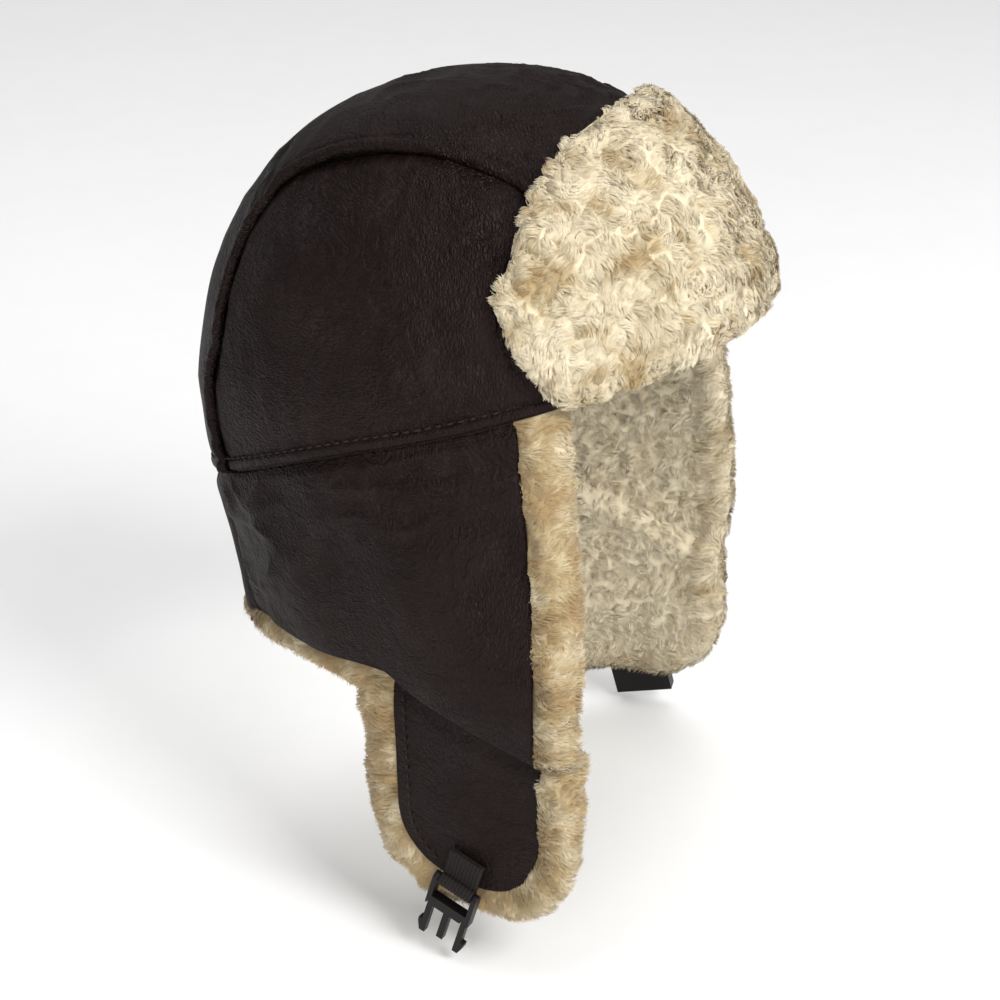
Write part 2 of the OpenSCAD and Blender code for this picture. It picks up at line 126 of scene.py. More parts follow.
def toCrown(p):  # from the hat as worn to the crown's level frame
    return turnedYz(p, -hat["tilt"])


def cellNoise(p, cell, seed):  # smooth noise from -1 to 1: random values at lattice corners, eased between
    q = np.asarray(p) / cell + 512
    low = np.floor(q).astype(np.int64)
    f = q - low
    w = f * f * f * (f * (f * 6 - 15) + 10)
    total = np.zeros(q.shape[:-1])
    for corner in np.ndindex(2, 2, 2):
        k = low + np.array(corner)
        h = (k[..., 0] * 73856093) ^ (k[..., 1] * 19349663) ^ (k[..., 2] * 83492791) ^ (seed * 40503 + 977)
        h = ((h ^ (h >> 13)) * 1274126177) & 0x7FFFFFFF
        h = ((h ^ (h >> 15)) * 668265263) & 0x7FFFFFFF
        share = np.prod(np.where(np.array(corner, bool), w, 1 - w), axis=-1)
        total = total + share * ((h >> 8) % 65536 / 32767.5 - 1)
    return total


def layeredNoise(p, cell, seed, layers):  # coarse noise with finer noise on it
    return sum(cellNoise(p, cell / 2 ** k, seed + k) / 2 ** k for k in range(layers))


def noiseVectors(p, cell, seed):  # three noises side by side
    return stack(*(cellNoise(p, cell, seed + 11 * k) for k in range(3)))


def noiseSlope(p, cell, seed):  # how noise climbs along X, Y and Z, per cell
    step = cell / 6
    here = cellNoise(p, cell, seed)
    return stack(*(6 * (cellNoise(p + step * np.eye(3)[k], cell, seed) - here) for k in range(3)))


def ridges(p, cell, seed):  # narrow crests along the lines where noise changes sign
    return np.maximum(1 - np.abs(cellNoise(p, cell, seed)) * 2.4, -0.6)


def gridNormals(p, ref):  # normals of a grid of points, turned to the side that ref points to
    n = unitVectors(np.cross(np.gradient(p, axis=0), np.gradient(p, axis=1)))
    return n * np.where(np.sum(n * ref, axis=-1, keepdims=True) < 0, -1, 1)


def quadsOf(index):  # the quads of a grid of point numbers
    return np.stack([index[:-1, :-1], index[1:, :-1], index[1:, 1:], index[:-1, 1:]], axis=-1).reshape(-1, 4)


def gridQuads(rows, cols):  # the quads of a grid whose points are numbered row by row
    return quadsOf(np.arange(rows * cols).reshape(rows, cols))


def quadNormals(points, quads):  # twice the area of each quad, along its normal
    a, b, c, d = (points[quads[:, k]] for k in range(4))
    return np.cross(c - a, d - b)


def facingQuads(points, quads, ref):  # quads wound so that their normals point along ref, taken together
    return quads if np.sum(quadNormals(points, quads) * ref[quads[:, 0]]) > 0 else quads[:, ::-1]


def pointNormals(points, quads, lean=(0, 0, 0)):  # face normals gathered at each point, with a slight lean
    total = np.zeros_like(points) + 0.05 * np.asarray(lean)
    n = quadNormals(points, quads)
    for k in range(4):
        np.add.at(total, quads[:, k], n)
    return unitVectors(total)


def makePiece(name, points, faceSets, material):  # one mesh object, from points in millimetres
    mesh = bpy.data.meshes.new(name)
    counts = np.concatenate([np.full(len(f), f.shape[1]) for f in faceSets])
    corners = np.concatenate([f.ravel() for f in faceSets])
    mesh.vertices.add(len(points))
    mesh.vertices.foreach_set("co", (points * millimetre).astype(np.float32).ravel())
    mesh.loops.add(len(corners))
    mesh.loops.foreach_set("vertex_index", corners.astype(np.int32))
    mesh.polygons.add(len(counts))
    mesh.polygons.foreach_set("loop_start", (np.cumsum(counts) - counts).astype(np.int32))
    mesh.polygons.foreach_set("loop_total", counts.astype(np.int32))
    mesh.polygons.foreach_set("use_smooth", np.ones(len(counts), bool))
    mesh.update(calc_edges=True)
    mesh.validate()
    mesh.materials.append(material)
    piece = bpy.data.objects.new(name, mesh)
    bpy.context.scene.collection.objects.link(piece)
    return piece


def addAttribute(piece, name, values):  # one number for each point
    layer = piece.data.attributes.new(name, "FLOAT", "POINT")
    layer.data.foreach_set("value", np.asarray(values, np.float32).ravel())


def thicken(piece, thick):  # gives a sheet its thickness, inwards from its face
    solid = piece.modifiers.new("thickness", "SOLIDIFY")
    solid.thickness = thick * millimetre
    solid.offset = -1
    return piece


# Shader maths on sockets
class Link:
    def __init__(self, tree, socket):
        self.tree = tree
        self.socket = socket

    def make(self, kind, settings=None, inputs=None, output=0):  # any node: settings first, then inputs
        node = self.tree.nodes.new(kind)
        for key, value in (settings or {}).items():
            if key == "stops":
                ramp = node.color_ramp.elements
                while len(ramp) < len(value):
                    ramp.new(0.5)
                for element, (place, colour) in zip(ramp, value):
                    element.position = place
                    element.color = (*colour, 1)
            else:
                setattr(node, key, value)
        for key, value in (inputs or {}).items():
            if isinstance(value, Link):
                self.tree.links.new(value.socket, node.inputs[key])
            else:
                node.inputs[key].default_value = value
        return Link(self.tree, node.outputs[output])

    def maths(self, operation, a, b):  # one Math node
        return self.make("ShaderNodeMath", {"operation": operation}, {0: a, 1: b})

    def __add__(self, other):
        return self.maths("ADD", self, other)

    def __sub__(self, other):
        return self.maths("SUBTRACT", self, other)

    def __mul__(self, other):
        return self.maths("MULTIPLY", self, other)

    def __rsub__(self, other):
        return self.maths("SUBTRACT", other, self)

    __radd__ = __add__
    __rmul__ = __mul__

    def limited(self):  # between 0 and 1
        return self.make("ShaderNodeClamp", {}, {"Value": self})

    def mixed(self, a, b):  # colour a where this is 0, b where it is 1
        return self.make("ShaderNodeMix", {"data_type": "RGBA"}, {0: self, 6: a, 7: b}, output=2)

    def scaled(self, x, y, z):  # coordinates times a size along each axis
        return self.make("ShaderNodeVectorMath", {"operation": "MULTIPLY"}, {0: self, 1: (x, y, z)})

    def noise(self, scale, detail=2.0, rough=0.5, distort=0.0):  # layered noise at these coordinates
        return self.make("ShaderNodeTexNoise", {}, {
            "Vector": self, "Scale": scale, "Detail": detail, "Roughness": rough, "Distortion": distort})

    def bump(self, strength, deep):  # bumps of this height, in metres
        return self.make("ShaderNodeBump", {}, {"Strength": strength, "Distance": deep, "Height": self})


def newMaterial(name):  # a material, its shader and its object coordinates
    material = bpy.data.materials.new(name)
    material.use_nodes = True
    tree = material.node_tree
    place = Link(tree, None).make("ShaderNodeTexCoord", output=3)
    return material, tree.nodes["Principled BSDF"], place


def setShader(shader, values):  # sets or links the shader's sockets
    for key, value in values.items():
        if isinstance(value, Link):
            value.tree.links.new(value.socket, shader.inputs[key])
        else:
            shader.inputs[key].default_value = value


# The light grey that crests are mixed towards is painted sheen, not a colour of the leather
leatherLook = dict(dark=(0.0030, 0.0010, 0.0009, 1), light=(0.0098, 0.0044, 0.0038, 1),
                   paintedSheen=(0.030, 0.022, 0.021, 1), pebble=760.0, fine=2400.0, blotch=20.0,
                   deep=0.0011, strength=0.6)


def leatherMaterial():  # pebbles drawn out upright in front and level behind, glossier in worn patches; lighter, greyer crests are painted sheen and darker folds are painted shade
    s = leatherLook
    material, shader, place = newMaterial("brownNappa")
    blotch = place.noise(s["blotch"], 5.0, 0.6)
    bent = place.make("ShaderNodeVectorMath", {"operation": "MULTIPLY_ADD"}, {
        0: place.noise(120.0, 3.0), 1: (0.005, 0.005, 0.005), 2: place})
    upright, level = (bent.make("ShaderNodeTexVoronoi", {"feature": "DISTANCE_TO_EDGE"}, {
        "Vector": bent.scaled(*drawn), "Scale": s["pebble"]}) for drawn in ((1, 1, 0.36), (0.45, 0.45, 1.1)))
    ahead = place.make("ShaderNodeSeparateXYZ", {}, {0: place}, output=1)
    patch = ((place.noise(14.0, 2.0) - 0.5) * 5.0 - ahead * 14.0 + 0.6).limited()
    crests = ((upright * patch + level * (1 - patch)) * 3.6).limited()
    fine = place.noise(s["fine"], 2.0, 0.6)
    creases = bent.noise(55.0, 4.0, 0.6, 0.5)
    folds = 1 - ((creases - 0.5) * (creases - 0.5) * 260.0).limited()
    # Worn patches: real wear that lowers the roughness and raises the crests, and painted sheen where they
    # lighten the crests' colour
    wearAndSheen = ((place.noise(30.0, 5.0, 0.7) - 0.42) * 3.4).limited()
    height = crests * (0.3 + wearAndSheen * 0.75) + fine * 0.12 - folds * 0.6
    # Colour: blotches are the leather's own tone; lighter pebble tops with darker valleys are painted sheen
    # and shade, and darker folds are painted shade in the creases
    tone = ((blotch - 0.3) * 1.6 + (crests - 0.55) * (0.2 + wearAndSheen * 0.8) - folds * 0.2).limited()
    # Crests in patches mixed towards that light grey: painted sheen
    sheenPatches = ((place.noise(46.0, 6.0, 0.75) - 0.52) * 4.0).limited() * crests
    colour = (sheenPatches * 0.6).mixed(tone.mixed(s["dark"], s["light"]), s["paintedSheen"])
    setShader(shader, {"Base Color": colour, "Roughness": 0.53 - wearAndSheen * 0.17 + fine * 0.1,
                       "Normal": height.bump(s["strength"], s["deep"]), "Specular IOR Level": 0.16,
                       "Specular Tint": (1.0, 0.82, 0.79, 1)})
    return material


fleeceLook = dict(brown=(0.39, 0.265, 0.125), tan=(0.45, 0.34, 0.178), cream=(0.64, 0.54, 0.36),
                  pale=(0.77, 0.68, 0.49), rootShade=0.7)


def fleeceMaterial():  # cream to tan by each lock's own tone, with painted shade towards its root
    s = fleeceLook
    material, shader, place = newMaterial("fleeceLocks")
    tone = place.make("ShaderNodeAttribute", {"attribute_name": "tone"}, output=2)
    tip = place.make("ShaderNodeAttribute", {"attribute_name": "tip"}, output=2)
    fine = place.noise(380.0, 2.0)
    shade = (tone + (fine - 0.5) * 0.22).limited()
    colour = shade.make("ShaderNodeValToRGB", {"stops": [
        (0.0, s["brown"]), (0.2, s["tan"]), (0.5, s["cream"]), (1.0, s["pale"])]}, {0: shade})
    # The tip value sets painted shade: darkest at the strands' roots, in the body's valleys and where the
    # fleece tucks under the leather
    lit = tip * (1 - s["rootShade"]) + s["rootShade"]
    deep = lit.make("ShaderNodeMix", {"data_type": "RGBA", "blend_type": "MULTIPLY"}, {
        0: 1.0, 6: colour, 7: lit}, output=2)
    setShader(shader, {"Base Color": deep, "Roughness": 0.75 + fine * 0.15,
                       "Normal": place.noise(700.0, 3.0).bump(0.35, 0.0007), "Specular IOR Level": 0.2,
                       "Sheen Weight": 0.2, "Sheen Roughness": 0.6})
    return material


def clothMaterial(name, dark, light, scale, rough):  # a fine diagonal weave over soft mottling
    material, shader, place = newMaterial(name)
    weave = place.make("ShaderNodeTexWave", {"wave_type": "BANDS", "bands_direction": "DIAGONAL"}, {
        "Vector": place, "Scale": scale, "Distortion": 0.6, "Detail": 2.0})
    mottle = place.noise(90.0, 4.0)
    tone = (weave * 0.5 + mottle * 0.6).limited()
    setShader(shader, {"Base Color": tone.mixed((*dark, 1), (*light, 1)), "Roughness": rough + mottle * 0.12,
                       "Normal": (weave + mottle).bump(0.4, 0.0003), "Specular IOR Level": 0.2})
    return material


def plasticMaterial():  # satin moulding with a faint grain, scuffed in places
    material, shader, place = newMaterial("satinBlackPlastic")
    cloud = place.noise(160.0, 4.0)
    scuff = ((place.noise(420.0, 6.0, 0.75) - 0.6) * 6.0).limited()
    tone = (cloud * 0.7 + scuff * 0.5).limited()
    setShader(shader, {"Base Color": tone.mixed((0.0030, 0.0020, 0.0019, 1), (0.009, 0.0065, 0.0062, 1)),
                       "Roughness": 0.36 + scuff * 0.2 + cloud * 0.1,
                       "Normal": place.noise(2600.0, 2.0).bump(0.12, 0.0002), "Specular IOR Level": 0.2})
    return material


leatherBrown = leatherMaterial()
fleeceCream = fleeceMaterial()
threadBrown = clothMaterial("twistedThread", (0.008, 0.0055, 0.005), (0.026, 0.018, 0.016), 2600.0, 0.5)
webbingBlack = clothMaterial("ribbedWebbing", (0.0045, 0.0032, 0.003), (0.018, 0.013, 0.0125), 1500.0, 0.62)
liningBrown = clothMaterial("quiltedLining", (0.016, 0.010, 0.008), (0.038, 0.026, 0.022), 900.0, 0.5)
plasticBlack = plasticMaterial()
print("materials made")


# Outlines of the hat: the same formulas as its solids
def fullAt(turn):  # how full the dome's section is, eased from front to back
    return mix(hat["fullFront"], hat["fullBack"], smooth(turn / math.pi))


def topHalf(turn):  # half the top panel's width, eased out towards the nape
    share = (np.degrees(turn) - hat["widenFrom"]) / (hat["widenTo"] - hat["widenFrom"])
    return hat["topHalfW"] + hat["topWiden"] * smooth(share)


def endFull(y):  # how full the hem's outline is: one value in front, one behind
    return np.where(y < 0, hat["fullFront"], hat["fullBack"])


def stretch(z):  # how much longer the outline is behind: a swell, and a flare that grows below the hem
    return 1 + (hat["backSwell"] + hat["neckFlare"] * unit(-z / hat["neckDrop"])) / hat["halfL"]


def levelY(y, z):  # place along the plain outline, with the stretch behind taken out
    return np.where(y > 0, y / stretch(z), y)


def levelZ(y):  # the hem's arch: a parabola that falls to the front and to the back
    fall = np.where(y > 0, hat["hemArch"], hat["hemArch"] - hat["hemFront"])
    return hat["hemArch"] - fall * (y / hat["halfL"]) ** 2


def hemZ(y):  # height of the hem at a place along the head
    return levelZ(levelY(y, 0 * y))


def hemX(y, z, depth):  # half width of the rounded outline at a place along the head, below its face
    return (hat["halfW"] - depth) * oval(levelY(y, z), hat["halfL"] - depth, endFull(y))


def hemY(x, z, depth):  # how far back the rounded outline reaches, below its face
    return (hat["halfL"] - depth) * oval(x, hat["halfW"] - depth, hat["fullBack"]) * stretch(z)


def hemPoint(turn):  # a point of the hem, by its turn from straight ahead, before the swell behind
    e = 2 / endFull(-np.cos(turn))
    return hat["halfW"] * signPow(np.sin(turn), e), -hat["halfL"] * signPow(np.cos(turn), e)


def settle(x, y, z):  # the swell behind and the arched hem, laid on a plain dome
    share = unit((hat["swellHigh"] - z / hat["high"]) / (hat["swellHigh"] - hat["swellLow"]))
    back = hat["backSwell"] * share * unit(y / hat["halfL"])
    return stack(x, y + back, z + levelZ(y) * unit(1 - z / hat["high"]))


def domePoint(x, ring, turn, depth):  # a rounded arch over the head, times ring; also its plain height
    y = -(hat["halfL"] - depth) * ring * signPow(np.cos(turn), 2 / hat["fullAlong"])
    z = (hat["high"] - depth) * ring * np.abs(np.sin(turn)) ** (2 / hat["fullAlong"])
    return settle(x, y, z), z + 0 * y


# The crown's leather: lapped seams, a rolled hem band, puckers and soft creases
crown = dict(topAcross=110, topOver=270, sideAlong=270, sideUp=115, lapRaise=1.9, lapWide=5.5, lapRoll=2.2,
             lapDrop=3.3, lapGroove=0.7, puff=1.2, puffWide=26.0, tuck=1.4, tuckWide=7.0,
             pucker=0.6, puckerWide=11.0, puckerCell=6.0, soft=1.9, softCell=55.0,
             crease=1.0, creaseCell=17.0, upright=0.8, hemPuff=1.1, hemGroove=0.9, hemClear=24.0,
             hemBand=1.5, hemSoft=3.0, hemEdge=1.4, hemGrooveWide=1.1, warp=9, warpCell=30, patchCell=40,
             uprightCell=9.0, uprightFrom=-10, uprightOver=50, lapOver=0.6, lapSoft=3, lapGrooveWide=1.2,
             seamSteps=2000, seamClear=9)


def hemRelief(high):  # band below the stitch line, and the groove that the stitches pull in
    s = crown
    band = s["hemPuff"] * smooth((hat["stitchInset"] + s["hemBand"] - high) / s["hemSoft"])
    edge = -s["hemEdge"] * smooth(1 - high / s["hemEdge"])
    return band + edge - s["hemGroove"] * bell(high - hat["stitchInset"], s["hemGrooveWide"])


def softCreases(p, high, seed):  # broad dents, with creases in patches and upright ones towards the front
    s = crown
    warp = p + s["warp"] * noiseVectors(p, s["warpCell"], seed + 3)
    lines = ridges(warp * np.array([1.0, 1.7, 0.55]), s["creaseCell"], seed + 5)
    upright = ridges(warp * np.array([1.0, 1.6, 0.22]), s["uprightCell"], seed + 6)
    upright = upright * smooth((s["uprightFrom"] - p[..., 1]) / s["uprightOver"])
    patch = unit(0.35 + 1.2 * cellNoise(p, s["patchCell"], seed + 8))
    total = s["soft"] * cellNoise(p, s["softCell"], seed) + s["crease"] * lines * patch
    total = total + s["upright"] * upright
    return total * smooth((high - hat["stitchInset"] - 1) / s["hemClear"])


def puckers(p, far, seed):  # short ripples square to a seam
    ripple = cellNoise(p * np.array([0.5, 1.6, 1.0]), crown["puckerCell"], seed)
    return crown["pucker"] * ripple * bell(far, crown["puckerWide"])


def topPanel():  # the dome between the seams, with a raised lap, a roll and a groove along each
    s = crown
    share = np.linspace(-1, 1, s["topAcross"])[:, None]
    share = 0.5 * share + 0.5 * np.sin(share * math.pi / 2)
    over = np.linspace(0, 1, s["topOver"])[None, :]
    turn = math.pi * (0.5 * over + 0.25 * (1 - np.cos(over * math.pi)))
    edge = topHalf(turn) + s["lapOver"]
    x = edge * share
    ring = oval(x, hat["halfW"], fullAt(turn))
    p, high = domePoint(x, ring, turn, 0)
    far = np.hypot(edge - np.abs(x), (ring - oval(edge, hat["halfW"], fullAt(turn))) * hat["high"])
    lap = s["lapRaise"] * smooth((s["lapWide"] + 1 - far) / s["lapSoft"])
    lap = lap - s["lapDrop"] * unit(1 - far / s["lapRoll"]) ** 2
    lap = lap - s["lapGroove"] * bell(far - s["lapWide"] - s["lapGrooveWide"], s["lapGrooveWide"])
    lap = lap + s["puff"] * smooth(1 - far / s["puffWide"])
    relief = lap + puckers(p, far, 21) + softCreases(p, high, 31) + hemRelief(high)
    return p + gridNormals(p, p) * relief[..., None]


def sidePanel(side):  # the dome between the hem and a seam, tucked in under the lap
    s = crown
    n = hat["fullAlong"]
    seamTurn = np.linspace(0, math.pi, s["seamSteps"])
    seamRing = oval(topHalf(seamTurn), hat["halfW"], fullAt(seamTurn))
    seamA = -seamRing * signPow(np.cos(seamTurn), 2 / n)
    seamB = seamRing * np.abs(np.sin(seamTurn)) ** (2 / n)
    along = np.linspace(0, 1, s["sideAlong"])[:, None]
    a = mix(seamA[0], seamA[-1], 0.5 - 0.5 * np.cos(along * math.pi))
    rise = np.linspace(0, 1, s["sideUp"])[None, :]
    b = np.interp(a, seamA, seamB) * (0.5 * rise + 0.25 * (1 - np.cos(rise * math.pi)))
    ring = (np.abs(a) ** n + b ** n) ** (1 / n)
    turn = np.arctan2(b ** (n / 2), -signPow(a, n / 2) + 0 * b)
    x = hat["halfW"] * oval(np.minimum(ring, 1), 1, fullAt(turn))
    p, high = domePoint(side * x, ring, turn, 0)
    seamFar = (oval(topHalf(turn), hat["halfW"], fullAt(turn)) - ring) * hat["high"]
    far = np.hypot(np.maximum(x - topHalf(turn), 0), seamFar)
    relief = -s["tuck"] * smooth(1 - far / s["tuckWide"]) + puckers(p, far, 22) + hemRelief(high)
    relief = relief + softCreases(p, high, 37 if side < 0 else 43) * smooth(far / s["seamClear"])
    return p + gridNormals(p, p) * relief[..., None]


def leatherMesh(name, points, quads, ref, nodes):  # a leather piece from points in the crown's frame
    flat = toWorn(points).reshape(-1, 3)
    faces = facingQuads(flat, quads, toWorn(ref).reshape(-1, 3))
    piece = thicken(makePiece(name, flat, [faces], leatherBrown), hat["leather"])
    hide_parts(*nodes)
    return piece


def leatherGrid(name, p, ref, nodes):  # the same, from a grid of points
    return leatherMesh(name, p, gridQuads(*p.shape[:2]), ref, nodes)


top = topPanel()
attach(leatherGrid("crownTop", top, top, ["crown_top_panel"]), "crown")
for side, word in ((-1, "Right"), (1, "Left")):
    panel = sidePanel(side)
    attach(leatherGrid("crownSide" + word, panel, panel, ["crown_side_panel_" + word.lower()]), "crown")
print("crown panels made")


# Quilted lining: a dome of padded cloth, drawn in along crossed seams
quilt = dict(across=120, over=150, pitch=34.0, puff=2.4, seam=0.9, pole=0.004, slant=0.9, crumple=0.5,
             crumpleCell=12, hemFade=14, thick=1.6)


def liningDome():  # the dome at the lining's depth, puffed out between two sets of crossed sine lines
    s = quilt
    depth = furOut + hat["lining"]
    a = np.linspace(s["pole"], math.pi - s["pole"], s["across"])[:, None]
    turn = np.linspace(0, math.pi, s["over"])[None, :]
    e = 2 / fullAt(turn)
    p, high = domePoint(-(hat["halfW"] - depth) * signPow(np.cos(a), e), np.sin(a) ** e, turn, depth)
    one, two = (np.abs(np.sin((p[..., 1] + way * p[..., 0] * s["slant"]) * math.pi / s["pitch"]))
                for way in (1, -1))
    puff = s["puff"] * np.sqrt(np.minimum(one, two)) - s["seam"]
    puff = puff + s["crumple"] * cellNoise(p, s["crumpleCell"], 61)
    return p - gridNormals(p, p) * (puff * smooth(high / s["hemFade"]))[..., None]


dome = liningDome()
domePoints = toWorn(dome).reshape(-1, 3)
domeQuads = facingQuads(domePoints, gridQuads(*dome.shape[:2]), -domePoints)
liningPiece = thicken(makePiece("crownLining", domePoints, [domeQuads], liningBrown), quilt["thick"])
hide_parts("crown_lining")
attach(liningPiece, "crown")
print("lining made")


# The ear flaps: an upper part that bulges over a crease, and a tab below it
flap = dict(tabColumns=64, rearColumns=70, upperRows=110, tabRows=60, creaseShare=0.81, swell=7.5, recess=1.8,
            hemTuck=1.7, hemReach=0.03, hemDepth=2.5, wrinkle=2.1, wrinkleCell=34.0,
            line=1.5, lineCell=15.0, edgeRoll=1.2, swellTop=0.86, underFrom=0.955, underOver=0.045,
            recessAt=1.01, recessWide=0.09, warp=7, warpCell=26, patchCell=45, hemFade=9, tuckFade=16,
            seeds={-1: 71, 1: 79})


def backGrow(grow):  # growth of the edge behind the tab, where the fur is narrower
    return grow * hat["furEdgeBack"] / hat["furEdge"]


def flapTop(u, grow):  # worn place of the flap's upper edge
    y = mix(-hat["flapFront"] - grow, seamY, u)
    return toWorn(stack(0 * y, y, hemZ(y) - hat["foldGap"]))[..., 1:]


def tabEdge(turn, grow):  # the tab's end: half a rounded outline, by its turn from the front
    e = 2 / hat["tabSquare"]
    y = -hat["tabFront"] - (hat["tabHalfW"] + grow) * signPow(np.cos(turn), e)
    return stack(y, -hat["tabDrop"] - (hat["tabRound"] + grow) * np.abs(np.sin(turn)) ** e)


def flapWaist(u, grow):  # the crease, from the front edge to the corner, and then the edge behind it
    share = hat["tabShare"]
    front = mix(flapTop(0 * u, grow), tabEdge(0 * u, grow), flap["creaseShare"])
    cornerY = -hat["tabFront"] + hat["tabHalfW"] + grow + hat["tabFlare"]
    corner = stack(cornerY, -hat["cornerDrop"] - backGrow(grow))
    end = toWorn(stack(0 * grow, seamY + 0 * grow, -hat["neckDrop"] - backGrow(grow)))[..., 1:]
    rear = mix(corner, end, unit((u - share) / (1 - share))[..., None])
    return np.where(u[..., None] < share, mix(front, corner, (u / share)[..., None]), rear)


def flapSwell(u, s):  # bulge that grows down to the crease, turns under there and hangs over the tab
    k = flap
    rise = np.sin(math.pi / 2 * unit(s / k["swellTop"])) * (1 - smooth((s - k["underFrom"]) / k["underOver"]))
    return (k["swell"] * rise - k["recess"] * bell(s - k["recessAt"], k["recessWide"])) * (1 - u ** 3)


def flapPoint(u, s, depth, grow, sweep):
    # A point of the right flap: s runs from the hem (0) to the crease (1) and on to the tab's edge (2)
    u, s, depth, grow = (np.asarray(k, float) for k in np.broadcast_arrays(u, s, depth, grow))
    top, waist = flapTop(u, grow), flapWaist(u, grow)
    edge = tabEdge(math.pi * unit(u / hat["tabShare"]), grow)
    q = np.where(s[..., None] < 1, mix(top, waist, s[..., None]), mix(waist, edge, s[..., None] - 1))
    down = np.where(s < 1, s * flap["creaseShare"], mix(flap["creaseShare"], 1, s - 1))
    y = q[..., 0] - hat["frontBow"] * np.sin(math.pi * unit(down)) * (1 - u) ** 4
    out = flapSwell(u, s)
    y = y + sweep * unit((flapTop(u, 0 * u)[..., 1] - q[..., 1]) / hat["tabDrop"]) * (1 - u ** 4)
    c = toCrown(stack(0 * u, y, q[..., 1]))
    return stack(-hemX(c[..., 1], c[..., 2], depth) - out, c[..., 1], c[..., 2])


def flapColumns():  # even shares along the tab, and then along what is behind it
    tab = np.linspace(0, hat["tabShare"], flap["tabColumns"])
    return np.concatenate([tab, np.linspace(hat["tabShare"], 1, flap["rearColumns"] + 1)[1:]])


def flapSheet(upperRows, depthOf, sweep):
    # Points of the whole flap at a depth, their places (u, s), quads, and point numbers along the free edge
    u, nt = flapColumns(), flap["tabColumns"]
    low = np.linspace(1, 2, flap["tabRows"] + 1)[1:]
    upperU, upperS = np.meshgrid(u, upperRows, indexing="ij")
    tabU, tabS = np.meshgrid(u[:nt], low, indexing="ij")
    placeU = np.concatenate([upperU.ravel(), tabU.ravel()])
    placeS = np.concatenate([upperS.ravel(), tabS.ravel()])
    points = flapPoint(placeU, placeS, depthOf(placeS), 0.0, sweep)
    upper = np.arange(upperU.size).reshape(upperU.shape)
    tab = np.concatenate([upper[:nt, -1:], upperU.size + np.arange(tabU.size).reshape(tabU.shape)], axis=1)
    edge = np.concatenate([upper[0], tab[0, 1:], tab[1:, -1], tab[-1, -2:0:-1], upper[nt - 1:, -1]])
    return points, placeU, placeS, np.concatenate([quadsOf(upper), quadsOf(tab)]), edge


# Places along the head, in millimetres: where the left flap starts to lean out, and where its lean is full
skirt = dict(start=80.0, right=18.0, left=34.0)


def leanLeft(p):  # mirrors a right flap's points to the left side, and leans them out clear of the back seam
    share = smooth((skirt["start"] - toWorn(p)[..., 1]) / (skirt["start"] - skirt["left"]))
    lean = np.radians(hat["leftLean"]) * share
    ax, az = hat["halfW"] + hat["foldOut"], hat["hemArch"] + hat["foldGap"]
    x, z = -p[..., 0] - ax, p[..., 2] - az
    c, s = np.cos(lean), np.sin(lean)
    return stack(ax + x * c - z * s, p[..., 1], az + z * c + x * s)


def onSide(p, side):  # a right flap's points as they are, a left one's mirrored and leaned
    return p if side < 0 else leanLeft(p)


def flapRelief(p, s, seed):  # broad dents and fine lines, drawn in at the hem
    k = flap
    warp = p + k["warp"] * noiseVectors(p, k["warpCell"], seed + 2)
    patch = unit(0.3 + 1.2 * cellNoise(p, k["patchCell"], seed + 6))
    lines = ridges(warp * np.array([1.0, 0.7, 1.4]), k["lineCell"], seed + 4) * patch
    relief = k["wrinkle"] * cellNoise(p, k["wrinkleCell"], seed) + k["line"] * lines
    return relief * smooth(s * k["hemFade"]) - k["hemTuck"] * smooth(1 - s * k["tuckFade"])


def flapLeather(side, sweep):  # the face moved along its normals by the relief, turned in at its edge
    k = flap
    rows = np.concatenate([[-k["hemReach"], -0.6 * k["hemReach"]], np.linspace(-0.004, 1, k["upperRows"])])
    points, _, s, quads, edge = flapSheet(rows, lambda s: k["hemDepth"] * smooth(-s / 0.012), sweep)
    faces = facingQuads(points, quads, points * np.array([1.0, 0, 0]))
    relief = flapRelief(points, s, k["seeds"][side])
    gone = np.zeros(len(points))
    gone[edge[len(rows) // 8:]] = 1
    return points + pointNormals(points, faces, (-1, 0, 0)) * (relief - k["edgeRoll"] * gone)[:, None], quads


def blendSkirt(piece):  # bakes the piece's place into its points
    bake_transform(piece)


def blendDown(piece, start, end):  # bakes the piece's place into its points
    start, end = (tuple(toWorn([0.0, *place]) * millimetre) for place in (start, end))
    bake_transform(piece)
    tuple(start)
    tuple(end)


sides = ((-1, "right", 0.0), (1, "left", float(hat["leftSweep"])))
for side, word, sweep in sides:
    skin, skinQuads = flapLeather(side, sweep)
    skin = onSide(skin, side)
    ref = skin * np.array([1.0, 0, 0])
    blendSkirt(leatherMesh(word + "FlapLeather", skin, skinQuads, ref, [word + "_flap_panel"]))
print("flap leather made")


# The neck guard, between the flaps' back seams
neck = dict(columns=120, rows=70, wrinkle=0.9, wrinkleCell=34, fine=0.4, fineCell=13, hemFade=6, tuckFade=10,
            seamPuff=1.2, puffAt=4, puffWide=3.0, seamGroove=1.3, grooveWide=1.6, seamWide=45.0,
            furRows=70, furTaper=0.3, strands=(9000, 8000, 5000))


def neckPoint(share, z, depth):  # a share of the seams' half width, on the outline behind
    x = share * hemX(seamY + hat["foldGap"] + 0 * z, z, depth)
    return stack(x, hemY(x, z, depth), z)


